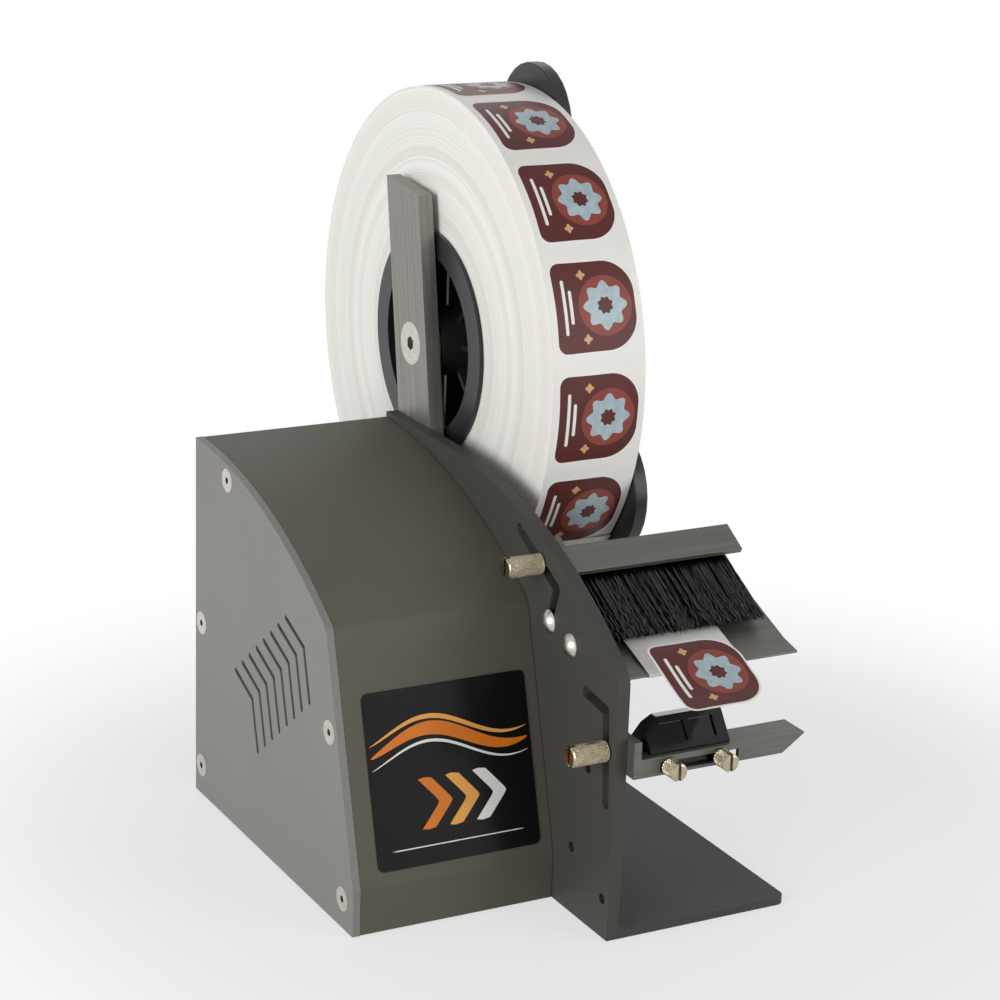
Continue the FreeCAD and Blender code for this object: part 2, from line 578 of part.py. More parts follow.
# Peel plate: slope, bent nose and a side tab screwed to the main plate
PEEL_THICKNESS = 2.5
PEEL_NOSE = (3.0, 99.2)
PEEL_BEND = (11.6, 101.1)
PEEL_SLOPE_START = (21.2, 104.8)
PEEL_BACK = 52.0
PEEL_NOSE_THICKNESS = 1.0
PEEL_TAB = (26.0, 57.0)
PEEL_TAB_BOTTOM = 95.5
PEEL_TAB_THICKNESS = 3.0
PEEL_TAB_RISE = 4.0
PEEL_END_TRIM = 2.5
PEEL_BEND_DROP = 2.25
slope = size("peel_slope")
bracket_x1 = plate_t + size("bracket_length")
peel_run = (PEEL_BACK - PEEL_SLOPE_START[0]) / math.cos(math.radians(slope)) - PEEL_END_TRIM
peel_half = PEEL_THICKNESS / 2
nose_half = PEEL_NOSE_THICKNESS / 2
peel_rear_centre = along(PEEL_SLOPE_START, slope, peel_run, -peel_half)
peel_nose_centre = (PEEL_NOSE[0], PEEL_NOSE[1] - nose_half)
peel_under = [along(PEEL_SLOPE_START, slope, 0, -PEEL_THICKNESS),
              (PEEL_BEND[0], PEEL_BEND[1] - PEEL_BEND_DROP)]
peel_round = arc_points(*peel_rear_centre, peel_half, slope + 90, slope - 90, 8)
peel_nose_round = arc_points(*peel_nose_centre, nose_half, 270, 90, 6)
peel = profile([PEEL_BEND, PEEL_SLOPE_START] + peel_round + peel_under + peel_nose_round, plate_t, bracket_x1)


def peel_height(y, below):
    """Height of the sloping part at a back position, a distance below its top."""
    return PEEL_SLOPE_START[1] + (y - PEEL_SLOPE_START[0]) * math.tan(math.radians(slope)) - below


tab = profile([(PEEL_TAB[0], PEEL_TAB_BOTTOM), (PEEL_TAB[1], PEEL_TAB_BOTTOM + PEEL_TAB_RISE),
               (PEEL_TAB[1], peel_height(PEEL_BACK, PEEL_THICKNESS) - 1),
               (PEEL_BACK - 3, peel_height(PEEL_BACK - 3, PEEL_THICKNESS / 2)),
               (PEEL_TAB[0], peel_height(PEEL_TAB[0], PEEL_THICKNESS / 2))],
              plate_t, plate_t + PEEL_TAB_THICKNESS)
peel = peel.fuse(tab)
for y, z in PEEL_SCREWS:
    peel = peel.cut(rod(plate_t - 1, plate_t + PEEL_TAB_THICKNESS + 1, y, z, PEEL_SHANK / 2 + THREAD_GAP))
add("peel_plate", peel.removeSplitter())


def button_screw(y, z):
    """Round-headed screw with a hexagonal recess, its head on the plate's left face."""
    head = Part.makeSphere(PEEL_HEAD_DOME, Vector(PEEL_HEAD_DOME - PEEL_HEAD_HEIGHT, y, z))
    head = head.common(rod(-PEEL_HEAD_HEIGHT, 0, y, z, PEEL_HEAD / 2))
    screw = head.fuse(rod(-0.5, plate_t + PEEL_TAB_THICKNESS, y, z, PEEL_SHANK / 2)).removeSplitter()
    return screw.cut(hex_socket(-PEEL_HEAD_HEIGHT, y, z, 1, SIDE_KEY, PEEL_SOCKET_DEPTH))


add("peel_plate_screws", Part.makeCompound([button_screw(y, z) for y, z in PEEL_SCREWS]))

# Rollers, shafts and the way of the web
guide_r = size("guide_roller_diameter") / 2
drive_r = size("drive_roller_diameter") / 2
pinch_r = size("pinch_roller_diameter") / 2
waste_r = size("waste_roll_diameter") / 2
web_t = size("web_thickness")
PEEL_WEB_GAP = 0.1
PINCH_ANGLE = 70.0
PINCH_AXIS = polar(DRIVE_AXIS[0], DRIVE_AXIS[1], drive_r + pinch_r + web_t + 2 * WEB_GAP, PINCH_ANGLE)
half_web = web_t / 2
nose_r = PEEL_NOSE_THICKNESS / 2
web_circles = [
    (reel[0], reel[1], roll_r + LABEL_THICKNESS + WEB_GAP + half_web, 1),
    (GUIDE_AXIS[0], GUIDE_AXIS[1], guide_r + WEB_GAP + half_web, -1),
    (peel_rear_centre[0], peel_rear_centre[1], PEEL_THICKNESS / 2 + PEEL_WEB_GAP + half_web, 1),
    (PEEL_NOSE[0], PEEL_NOSE[1] - nose_r, nose_r + PEEL_WEB_GAP + half_web, 1),
    (DRIVE_AXIS[0], DRIVE_AXIS[1], drive_r + WEB_GAP + half_web, -1),
    (REWIND_AXIS[0], REWIND_AXIS[1], waste_r + WEB_GAP + half_web, -1),
]
web_line = tangent_path(web_circles)
add("label_web", strip(web_line, web_t, web_x0, web_x1))

# Label that has come off the web at the nose and waits to be taken
PEELED_LABEL = [(20.5, 106.2), (15.5, 106.3), (12.5, 106.5), (9.6, 106.3), (6.0, 104.9), (0.4, 102.2),
                (-4.5, 99.8), (-9.5, 97.6), (-16.0, 95.3), (-21.8, 93.7)]
LABEL_SHEET = 0.3
LABEL_CORNER = 8.0
LABEL_CUT = (70.0, 130.0)
label = strip(PEELED_LABEL, LABEL_SHEET, web_x0 + LABEL_MARGIN, web_x1 - LABEL_MARGIN)
label_end = PEELED_LABEL[-1][0]
for side, edge in ((1, web_x1 - LABEL_MARGIN), (-1, web_x0 + LABEL_MARGIN)):
    round_x = edge - side * LABEL_CORNER
    block = box(min(round_x, edge + side), max(round_x, edge + side), label_end - 1, label_end + LABEL_CORNER,
                LABEL_CUT[0], LABEL_CUT[1])
    block = block.cut(Part.makeCylinder(LABEL_CORNER, LABEL_CUT[1] - LABEL_CUT[0],
                                        Vector(round_x, label_end + LABEL_CORNER, LABEL_CUT[0])))
    label = label.cut(block)
add("peeled_label", label)

# Brush: folded bracket, channel, bristles and the knurled screw that clamps it
BRUSH_FRONT = (42.1, 125.8)
BRUSH_LEAN = 30.1
BRUSH_SHEET = 2.0
BRUSH_BAND = 12.9
BRUSH_BACK = 12.0
BRUSH_END_PLATE = 3.0
BRUSH_EAR = 6.0
CHANNEL_SETBACK = 1.0
CHANNEL_DEPTH = 7.4
CHANNEL_WALL = 1.0
CHANNEL_END_GAP = 5.0
BRISTLE_GRIP = 5.0
BRISTLE_TIPS = ((15.5, 106.9), (21.5, 107.2))


def brush_point(forward, down):
    """Point in the bracket's own directions: back along its band and square below it."""
    return along(BRUSH_FRONT, BRUSH_LEAN, forward, -down)


def brush_box(f0, f1, d0, d1, x0, x1):
    """Block in the bracket's own directions."""
    corners = [brush_point(f0, d0), brush_point(f1, d0), brush_point(f1, d1), brush_point(f0, d1)]
    return profile(corners, x0, x1)


end_x1 = plate_t + BRUSH_END_PLATE
bracket = brush_box(0, BRUSH_BAND, 0, BRUSH_SHEET, plate_t, bracket_x1)
bracket = bracket.fuse(brush_box(BRUSH_BAND - BRUSH_SHEET, BRUSH_BAND, 0, BRUSH_BACK, plate_t, bracket_x1))
bracket = bracket.fuse(brush_box(BRUSH_SHEET, BRUSH_BAND + BRUSH_EAR, BRUSH_SHEET / 2, BRUSH_BACK, plate_t,
                                 end_x1))
thumb_hole = THUMB_SHANK / 2 + THREAD_GAP
bracket = bracket.cut(rod(plate_t - 1, end_x1 + 2, BRUSH_AXIS[0], BRUSH_AXIS[1], thumb_hole))
add("brush_bracket", bracket.removeSplitter())
channel_f1 = BRUSH_BAND - BRUSH_SHEET
channel_d1 = BRUSH_SHEET + CHANNEL_DEPTH
bristle_x0 = end_x1
bristle_x1 = bracket_x1 - CHANNEL_END_GAP
channel = brush_box(CHANNEL_SETBACK, channel_f1, BRUSH_SHEET, channel_d1, bristle_x0, bristle_x1)
grip = CHANNEL_SETBACK + BRISTLE_GRIP
grip_d0 = BRUSH_SHEET + CHANNEL_WALL
grip_d1 = channel_d1 - CHANNEL_WALL
channel = channel.cut(brush_box(CHANNEL_SETBACK - 1, grip, grip_d0, grip_d1, bristle_x0 - 1, bristle_x1 + 1))
bristles = profile([BRISTLE_TIPS[0], brush_point(CHANNEL_SETBACK, grip_d0), brush_point(grip, grip_d0),
                    brush_point(grip, grip_d1), brush_point(CHANNEL_SETBACK, grip_d1), BRISTLE_TIPS[1]],
                   bristle_x0, bristle_x1)
add("strip_brush", Part.makeCompound([channel, bristles]))

thumb_r = size("thumb_screw_diameter") / 2
thumb_length = size("thumb_screw_length")
SCREWDRIVER_SLOT = 1.2
SCREWDRIVER_DEPTH = 2.0
THUMB_CHAMFER = 0.5


def thumb_screw(axis, tip):
    """Knurled screw with a slotted end, its head standing on the plate's left face."""
    y, z = axis
    head = rod(-thumb_length, -SLIDE_GAP, y, z, thumb_r)
    head = head.makeChamfer(THUMB_CHAMFER, [e for e in head.Edges if len(e.Vertexes) == 1])
    head = head.cut(box(-thumb_length - 1, -thumb_length + SCREWDRIVER_DEPTH, y - SCREWDRIVER_SLOT / 2,
                        y + SCREWDRIVER_SLOT / 2, z - thumb_r, z + thumb_r))
    return head.fuse(rod(-thumb_length / 2, tip, y, z, THUMB_SHANK / 2)).removeSplitter()


add("brush_thumb_screw", thumb_screw(BRUSH_AXIS, end_x1))

# Label sensor on its grooved angle bracket
ANGLE_TOP = 70.6
ANGLE_SHEET = 1.8
ANGLE_FRONT = -5.0
ANGLE_BACK = 8.0
ANGLE_BOTTOM = 63.6
ANGLE_CUT = 10.5
GROOVE = 3.6
GROOVE_MIDDLE = 66.6
GROOVE_START = 8.0
GROOVE_LENGTH = 32.5
GROOVE_X = (end_x1 + GROOVE_START, end_x1 + GROOVE_START + GROOVE_LENGTH)
END_PLATE_BACK = 14.0
END_PLATE_TOP = 77.5
NUT_ACROSS = 7.0
NUT_LENGTH = 3.0
NUT_CLEARANCE = 1.2
angle = box(plate_t, bracket_x1, ANGLE_FRONT, ANGLE_BACK, ANGLE_TOP - ANGLE_SHEET, ANGLE_TOP)
angle = angle.fuse(box(plate_t, bracket_x1, ANGLE_FRONT, ANGLE_FRONT + ANGLE_SHEET, ANGLE_BOTTOM, ANGLE_TOP))
angle = angle.fuse(box(plate_t, end_x1, ANGLE_FRONT, END_PLATE_BACK, ANGLE_BOTTOM, END_PLATE_TOP))
corner_points = [Vector(bracket_x1 - ANGLE_CUT, ANGLE_FRONT - 1, ANGLE_BOTTOM - 1),
                 Vector(bracket_x1 + 1, ANGLE_FRONT - 1, ANGLE_BOTTOM - 1),
                 Vector(bracket_x1 + 1, ANGLE_FRONT - 1, ANGLE_TOP)]
corner_face = Part.Face(Part.makePolygon(corner_points + corner_points[:1]))
angle = angle.cut(corner_face.extrude(Vector(0, ANGLE_SHEET + 2, 0)))
angle = angle.cut(box(GROOVE_X[0], GROOVE_X[1], ANGLE_FRONT - 1, ANGLE_FRONT + ANGLE_SHEET + 1,
                      GROOVE_MIDDLE - GROOVE / 2, GROOVE_MIDDLE + GROOVE / 2))
angle = angle.cut(rod(plate_t - 1, end_x1, *SENSOR_AXIS, thumb_hole))
angle = angle.cut(rod(end_x1, end_x1 + NUT_LENGTH + 0.5, *SENSOR_AXIS, NUT_ACROSS / 2 + NUT_CLEARANCE))
add("sensor_bracket", angle.removeSplitter())
bracket_nut = hex_socket(end_x1, *SENSOR_AXIS, 1, NUT_ACROSS, NUT_LENGTH)
add("bracket_nut", bracket_nut.cut(rod(0, end_x1 + NUT_LENGTH + 1, *SENSOR_AXIS, thumb_hole)))
add("bracket_thumb_screw", thumb_screw(SENSOR_AXIS, end_x1 + NUT_LENGTH))

SENSOR_GAP = 5.0
SENSOR_WIDTH = 33.0
SENSOR_X = (end_x1 + SENSOR_GAP, end_x1 + SENSOR_GAP + SENSOR_WIDTH)
SENSOR_FRONT = (-2.8, 71.5)
SENSOR_CREST = (4.8, 81.8)
SENSOR_TOP = (13.0, 79.5)
SENSOR_SHOULDER = 74.5
SENSOR_BACK = 18.5
SENSOR_CHAMFER = 6.0
CHAMFER_LEAD = 4.0
sensor_low = ANGLE_TOP + SLIDE_GAP
foot_top = ANGLE_TOP - ANGLE_SHEET - SLIDE_GAP
foot_front = ANGLE_FRONT + ANGLE_SHEET + SLIDE_GAP
foot_back = ANGLE_BACK + SLIDE_GAP
sensor = profile([(SENSOR_FRONT[0], sensor_low), SENSOR_FRONT, SENSOR_CREST, SENSOR_TOP,
                  (SENSOR_BACK, SENSOR_SHOULDER), (SENSOR_BACK, ANGLE_BOTTOM), (foot_front, ANGLE_BOTTOM),
                  (foot_front, foot_top), (foot_back, foot_top), (foot_back, sensor_low)],
                 SENSOR_X[0], SENSOR_X[1])
face_rise = SENSOR_CREST[1] - SENSOR_FRONT[1]
face_run = SENSOR_CREST[0] - SENSOR_FRONT[0]
face_lean = math.degrees(math.atan2(face_rise, face_run))
face_length = math.hypot(face_rise, face_run)
# the crest's left corner is cut off by a wedge that stands square to the sloping face
past_crest = along(SENSOR_FRONT, face_lean, face_length + CHAMFER_LEAD, 0)
wedge_points = [Vector(SENSOR_X[0] - 0.01, *along(SENSOR_FRONT, face_lean, face_length - SENSOR_CHAMFER, 0)),
                Vector(SENSOR_X[0] - 0.01, *past_crest),
                Vector(SENSOR_X[0] + SENSOR_CHAMFER + CHAMFER_LEAD, *past_crest)]
wedge = Part.Face(Part.makePolygon(wedge_points + wedge_points[:1]))
face_normal = Vector(0, *along((0, 0), face_lean, 0, 1))
wedge.translate(face_normal * 2)
sensor = sensor.cut(wedge.extrude(face_normal * -30))
WINDOW = (5.0, 7.6)
WINDOW_RECESS = 1.0
WINDOW_MIDDLES = (SENSOR_X[0] + 11.5, SENSOR_X[0] + 23.5)


def face_box(x, across_half, low, high, top, bottom):
    """Block square to the sensor's sloping face."""
    corners = [along(SENSOR_FRONT, face_lean, low, top), along(SENSOR_FRONT, face_lean, high, top),
               along(SENSOR_FRONT, face_lean, high, bottom), along(SENSOR_FRONT, face_lean, low, bottom)]
    return profile(corners, x - across_half, x + across_half)


windows = []
window_low = (face_length - WINDOW[1]) / 2
window_high = window_low + WINDOW[1]
for middle in WINDOW_MIDDLES:
    sensor = sensor.cut(face_box(middle, WINDOW[0], window_low, window_high, 1, -2 * WINDOW_RECESS))
    windows.append(face_box(middle, WINDOW[0], window_low, window_high, -WINDOW_RECESS, -2 * WINDOW_RECESS))
SENSOR_SCREWS = (SENSOR_X[0] + 6.5, SENSOR_X[0] + 28.0)
SENSOR_SCREW_HEAD = 7.0
SENSOR_SCREW_RADIUS = 3.4
SENSOR_SCREW_SHANK = 3.0
SENSOR_SCREW_DEPTH = 5.0
for x in SENSOR_SCREWS:
    sensor = sensor.cut(Part.makeCylinder(SENSOR_SCREW_SHANK / 2 + THREAD_GAP, SENSOR_SCREW_DEPTH + 1,
                                          Vector(x, foot_front - 1, GROOVE_MIDDLE), Vector(0, 1, 0)))
add("sensor_body", sensor.removeSplitter())
add("sensor_windows", Part.makeCompound(windows))
head_y = ANGLE_FRONT - SLIDE_GAP
head_end = head_y - SENSOR_SCREW_HEAD
for name, x in zip(("sensor_screw_left", "sensor_screw_right"), SENSOR_SCREWS):
    knob = Part.makeCylinder(SENSOR_SCREW_RADIUS, SENSOR_SCREW_HEAD, Vector(x, head_y, GROOVE_MIDDLE),
                             Vector(0, -1, 0))
    knob = knob.makeChamfer(THUMB_CHAMFER, [e for e in knob.Edges if len(e.Vertexes) == 1])
    knob = knob.cut(box(x - SCREWDRIVER_SLOT / 2, x + SCREWDRIVER_SLOT / 2, head_end - 1,
                        head_end + SCREWDRIVER_DEPTH, GROOVE_MIDDLE - thumb_r, GROOVE_MIDDLE + thumb_r))
    stem = Part.makeCylinder(SENSOR_SCREW_SHANK / 2, foot_front + SENSOR_SCREW_DEPTH - head_y,
                             Vector(x, head_y - 1, GROOVE_MIDDLE), Vector(0, 1, 0))
    add(name, knob.fuse(stem).removeSplitter())

# Guide roller, drive roller and pinch roller with its sprung lever
ROLLER_OVERHANG = 2.0
GUIDE_ROLLER_SHORT = 3.0
ROLLER_X = (web_x0 - ROLLER_OVERHANG, web_x1 + ROLLER_OVERHANG)
GUIDE_ROLLER_X = (web_x0 - ROLLER_OVERHANG, web_x1 - GUIDE_ROLLER_SHORT)
ROLLER_END_GAP = 0.5
PIN_HEAD = 1.5
PIN_HEAD_RADIUS = 5.0


def shoulder_pin(axis, x_start, pin_end):
    """Headed pin on which a roller turns freely."""
    pin = rod(x_start, pin_end, axis[0], axis[1], PIN_RADIUS)
    return pin.fuse(rod(pin_end, pin_end + PIN_HEAD, axis[0], axis[1], PIN_HEAD_RADIUS)).removeSplitter()


for name, axis, radius, ends in (("guide_roller", GUIDE_AXIS, guide_r, GUIDE_ROLLER_X),
                                 ("pinch_roller", PINCH_AXIS, pinch_r, ROLLER_X)):
    add(name, tube(ends[0], ends[1], axis[0], axis[1], radius, PIN_RADIUS + RUNNING_FIT))
collar_x1 = ROLLER_X[0] - ROLLER_END_GAP
guide_pin = shoulder_pin(GUIDE_AXIS, 0, GUIDE_ROLLER_X[1] + ROLLER_END_GAP)
guide_pin = guide_pin.fuse(rod(plate_t, collar_x1, GUIDE_AXIS[0], GUIDE_AXIS[1], PIN_HEAD_RADIUS))
add("guide_pin", guide_pin.removeSplitter())
LEVER_GAP = 2.0
LEVER_THICKNESS = 4.0
LEVER_X = (plate_t + LEVER_GAP, plate_t + LEVER_GAP + LEVER_THICKNESS)
LEVER_WIDTH = 12.0
add("pinch_pin", shoulder_pin(PINCH_AXIS, LEVER_X[0], ROLLER_X[1] + ROLLER_END_GAP))
lever = slot([LEVER_AXIS, PINCH_AXIS], LEVER_WIDTH, LEVER_X[0], LEVER_X[1])
lever = lever.cut(rod(0, 20, LEVER_AXIS[0], LEVER_AXIS[1], PIN_RADIUS + RUNNING_FIT))
lever = lever.cut(rod(0, 20, PINCH_AXIS[0], PINCH_AXIS[1], PIN_RADIUS))
add("pinch_lever", lever)
SPRING_GAP = 0.1
SPRING_WIRE = 0.8
SPRING_INNER = 3.3
SPRING_OUTER = 4.3
SPRING_LEG = 1.0
LEVER_COLLAR_RADIUS = 6.0
lever_head_x = LEVER_X[1] + SPRING_WIRE + 3 * SPRING_GAP
lever_pin = rod(0, lever_head_x + PIN_HEAD, *LEVER_AXIS, PIN_RADIUS)
lever_pin = lever_pin.fuse(rod(plate_t, LEVER_X[0] - SLIDE_GAP / 2, *LEVER_AXIS, LEVER_COLLAR_RADIUS))
lever_pin = lever_pin.fuse(rod(lever_head_x, lever_head_x + PIN_HEAD, *LEVER_AXIS, LEVER_COLLAR_RADIUS))
add("lever_pin", lever_pin.removeSplitter())
# the lever's spring is a flat loop round its pin, one leg over the pinch roller's pin, one behind the guide pin
spring_x0 = LEVER_X[1] + SPRING_GAP
spring_x1 = spring_x0 + SPRING_WIRE
leg_reach = PIN_RADIUS + SPRING_LEG / 2 + SPRING_GAP
spring_middle = (SPRING_INNER + SPRING_OUTER) / 2
pinch_leg = [(LEVER_AXIS[0], LEVER_AXIS[1] + spring_middle), (PINCH_AXIS[0], PINCH_AXIS[1] + leg_reach),
             (PINCH_AXIS[0] - PIN_RADIUS, PINCH_AXIS[1] + leg_reach)]
stay_leg = [(LEVER_AXIS[0] + spring_middle, LEVER_AXIS[1]),
            (GUIDE_AXIS[0] + PIN_HEAD_RADIUS + SPRING_LEG, GUIDE_AXIS[1])]
spring = tube(spring_x0, spring_x1, LEVER_AXIS[0], LEVER_AXIS[1], SPRING_OUTER, SPRING_INNER)
for leg in (pinch_leg, stay_leg):
    spring = spring.fuse(strip(leg, SPRING_LEG, spring_x0, spring_x1))
spring = spring.cut(rod(0, 20, LEVER_AXIS[0], LEVER_AXIS[1], SPRING_INNER))
add("pinch_spring", spring.removeSplitter())

drive_end = ROLLER_X[1] + 1.0
INNER_PLATE_X = (-30.0, -27.0)
shaft_start = INNER_PLATE_X[0] - 1.0
drive_shaft = rod(shaft_start, drive_end, DRIVE_AXIS[0], DRIVE_AXIS[1], SHAFT_RADIUS)
add("drive_shaft", drive_shaft)
add("drive_roller", tube(ROLLER_X[0], ROLLER_X[1], DRIVE_AXIS[0], DRIVE_AXIS[1], drive_r, SHAFT_RADIUS))
bushes = []
for y, z in (DRIVE_AXIS, REWIND_AXIS):
    for x0, x1, flange in ((0, plate_t, plate_t), (INNER_PLATE_X[0], INNER_PLATE_X[1], INNER_PLATE_X[1])):
        bush = rod(x0, x1, y, z, BUSH_RADIUS).fuse(rod(flange, flange + BUSH_FLANGE, y, z, BUSH_FLANGE_RADIUS))
        bushes.append(bush.removeSplitter().cut(rod(x0 - 1, x1 + 2, y, z, SHAFT_RADIUS + RUNNING_FIT)))
add("shaft_bushes", Part.makeCompound(bushes))

# Rewind spindle that takes up the spent web
MANDREL_RADIUS = 8.0
MANDREL_SLIT = 1.2
REWIND_FLANGE_RADIUS = 28.0
REWIND_FLANGE = 2.0
REWIND_GAP = 3.0
rewind_x0 = plate_t + REWIND_GAP
REWIND_OVERHANG = 5.0
rewind_end = web_x1 + REWIND_OVERHANG
rewind = rod(shaft_start, rewind_x0, REWIND_AXIS[0], REWIND_AXIS[1], SHAFT_RADIUS)
rewind = rewind.fuse(rod(rewind_x0, rewind_end, REWIND_AXIS[0], REWIND_AXIS[1], MANDREL_RADIUS))
rewind = rewind.fuse(rod(rewind_x0, rewind_x0 + REWIND_FLANGE, *REWIND_AXIS, REWIND_FLANGE_RADIUS))
rewind = rewind.cut(box(web_x0 - 1, rewind_end + 1, REWIND_AXIS[0] - MANDREL_SLIT / 2,
                        REWIND_AXIS[0] + MANDREL_SLIT / 2, REWIND_AXIS[1] - MANDREL_RADIUS - 1,
                        REWIND_AXIS[1] + MANDREL_RADIUS + 1))
add("rewind_spindle", rewind.removeSplitter())
add("waste_roll", tube(web_x0, web_x1, REWIND_AXIS[0], REWIND_AXIS[1], waste_r, MANDREL_RADIUS))

# Drive train inside the housing
BELT_THICKNESS = 1.4
PULLEY_RIM = 1.6
PULLEY_FLANGE = 1.0
MOTOR_PULLEY_RADIUS = 9.0
DRIVEN_PULLEY_RADIUS = 12.0
SMALL_PULLEY_RADIUS = 7.0
REWIND_PULLEY_RADIUS = 11.0
DRIVE_BELT_X = (-24.0, -16.0)
REWIND_BELT_X = (-12.0, -7.0)
MOTOR_SHAFT_RADIUS = 3.0


def pulley(axis, radius, belt_x, bore):
    """Flat belt pulley with a low flange at each side."""
    wheel = rod(belt_x[0] - PULLEY_FLANGE, belt_x[1] + PULLEY_FLANGE, axis[0], axis[1], radius)
    for x in (belt_x[0] - PULLEY_FLANGE, belt_x[1]):
        wheel = wheel.fuse(rod(x, x + PULLEY_FLANGE, axis[0], axis[1], radius + PULLEY_RIM))
    return wheel.removeSplitter().cut(rod(belt_x[0] - 5, belt_x[1] + 5, axis[0], axis[1], bore))


def loop(a, ra, b, rb):
    """Outline of a tight loop round two circles."""
    distance = math.hypot(b[0] - a[0], b[1] - a[1])
    base = math.degrees(math.atan2(b[1] - a[1], b[0] - a[0]))
    turn = math.degrees(math.acos((ra - rb) / distance))
    return (arc_points(b[0], b[1], rb, base - turn, base + turn, 14)
            + arc_points(a[0], a[1], ra, base + turn, base + 360 - turn, 14))


def belt(a, ra, b, rb, belt_x):
    """Flat belt round two pulleys, a running gap off their rims."""
    x0, x1 = belt_x[0] + SLIDE_GAP, belt_x[1] - SLIDE_GAP
    gap = WEB_GAP
    outside = profile(loop(a, ra + gap + BELT_THICKNESS, b, rb + gap + BELT_THICKNESS), x0, x1)
    return outside.cut(profile(loop(a, ra + gap, b, rb + gap), x0 - 1, x1 + 1))


add("drive_pulleys", Part.makeCompound([pulley(DRIVE_AXIS, DRIVEN_PULLEY_RADIUS, DRIVE_BELT_X, SHAFT_RADIUS),
                                        pulley(DRIVE_AXIS, SMALL_PULLEY_RADIUS, REWIND_BELT_X, SHAFT_RADIUS)]))
add("rewind_pulley", pulley(REWIND_AXIS, REWIND_PULLEY_RADIUS, REWIND_BELT_X, SHAFT_RADIUS))
GEAR_HOUSING_X = (-52.0, -30.0)
GEAR_HOUSING_HALF = 18.5
MOTOR_END_GAP = 2.6
MOTOR_CAN_X = (panel_x1 + MOTOR_END_GAP, GEAR_HOUSING_X[0])
MOTOR_CAN_RADIUS = 17.0
MOTOR_SHAFT_DEPTH = 14.0
add("motor_pulley", Part.makeCompound([
    pulley(MOTOR_AXIS, MOTOR_PULLEY_RADIUS, DRIVE_BELT_X, MOTOR_SHAFT_RADIUS),
    rod(GEAR_HOUSING_X[1] - MOTOR_SHAFT_DEPTH, DRIVE_BELT_X[1] + 2, MOTOR_AXIS[0], MOTOR_AXIS[1],
        MOTOR_SHAFT_RADIUS)]))
add("drive_belt", belt(DRIVE_AXIS, DRIVEN_PULLEY_RADIUS, MOTOR_AXIS, MOTOR_PULLEY_RADIUS, DRIVE_BELT_X))
add("rewind_belt", belt(DRIVE_AXIS, SMALL_PULLEY_RADIUS, REWIND_AXIS, REWIND_PULLEY_RADIUS, REWIND_BELT_X))

MOTOR_SCREW_SPREAD = 14.0
MOTOR_SCREW_RADIUS = 1.5
MOTOR_SCREW_HEAD = 2.7
MOTOR_SCREW_DEPTH = 8.0
motor_y, motor_z = MOTOR_AXIS
motor_screws = [(motor_y + sy * MOTOR_SCREW_SPREAD, motor_z + sz * MOTOR_SCREW_SPREAD)
                for sy in (-1, 1) for sz in (-1, 1)]
gear_housing = box(GEAR_HOUSING_X[0], GEAR_HOUSING_X[1], motor_y - GEAR_HOUSING_HALF,
                   motor_y + GEAR_HOUSING_HALF, motor_z - GEAR_HOUSING_HALF, motor_z + GEAR_HOUSING_HALF)
gear_housing = gear_housing.cut(rod(GEAR_HOUSING_X[1] - MOTOR_SHAFT_DEPTH, 0, motor_y, motor_z,
                                    MOTOR_SHAFT_RADIUS + RUNNING_FIT))
INNER_PLATE = [(78.0, 26.0), (168.0, 26.0), (168.0, 127.0), (120.0, 127.0), (78.0, 108.0)]
MOTOR_OPENING_RADIUS = 8.0
MOTOR_SCREW_HEAD_HEIGHT = 1.8
PILLAR_NUT_ACROSS = 9.0
PILLAR_NUT = 3.0
inner_plate = profile(INNER_PLATE, INNER_PLATE_X[0], INNER_PLATE_X[1])
inner_plate = inner_plate.cut(rod(-40, 0, motor_y, motor_z, MOTOR_OPENING_RADIUS))
for y, z in (DRIVE_AXIS, REWIND_AXIS):
    inner_plate = inner_plate.cut(rod(-40, 0, y, z, BUSH_RADIUS))
heads = []
for y, z in motor_screws:
    inner_plate = inner_plate.cut(rod(-40, 0, y, z, MOTOR_SCREW_RADIUS + SLIDE_GAP))
    screw_x0 = GEAR_HOUSING_X[1] - MOTOR_SCREW_DEPTH
    gear_housing = gear_housing.cut(rod(screw_x0, 0, y, z, MOTOR_SCREW_RADIUS + THREAD_GAP))
    head = rod(INNER_PLATE_X[1], INNER_PLATE_X[1] + MOTOR_SCREW_HEAD_HEIGHT, y, z, MOTOR_SCREW_HEAD)
    heads.append(head.fuse(rod(screw_x0 + 1, INNER_PLATE_X[1], y, z, MOTOR_SCREW_RADIUS)).removeSplitter())
PILLAR_RADIUS = 4.0
PILLAR_STUD_RADIUS = 3.0
pillars = []
for y, z in PILLARS:
    post = rod(INNER_PLATE_X[1], 0, y, z, PILLAR_RADIUS)
    post = post.fuse(rod(INNER_PLATE_X[0] - PILLAR_NUT - 1, INNER_PLATE_X[1], y, z, PILLAR_STUD_RADIUS))
    post = post.removeSplitter()
    pillars.append(post.cut(rod(-SIDE_LENGTH + plate_t - 1, 1, y, z, SIDE_SHANK / 2 + THREAD_GAP)))
    inner_plate = inner_plate.cut(rod(-40, 0, y, z, PILLAR_STUD_RADIUS + SEAT_GAP))
add("inner_frame_plate", inner_plate)
add("frame_pillars", Part.makeCompound(pillars))
pillar_nuts = [hex_socket(INNER_PLATE_X[0] - PILLAR_NUT, y, z, 1, PILLAR_NUT_ACROSS, PILLAR_NUT)
               .cut(rod(-40, 0, y, z, PILLAR_STUD_RADIUS + THREAD_GAP)) for y, z in PILLARS]
add("gear_motor", gear_housing.fuse(rod(MOTOR_CAN_X[0], MOTOR_CAN_X[1], motor_y, motor_z, MOTOR_CAN_RADIUS)))
add("frame_fasteners", Part.makeCompound(heads + pillar_nuts))

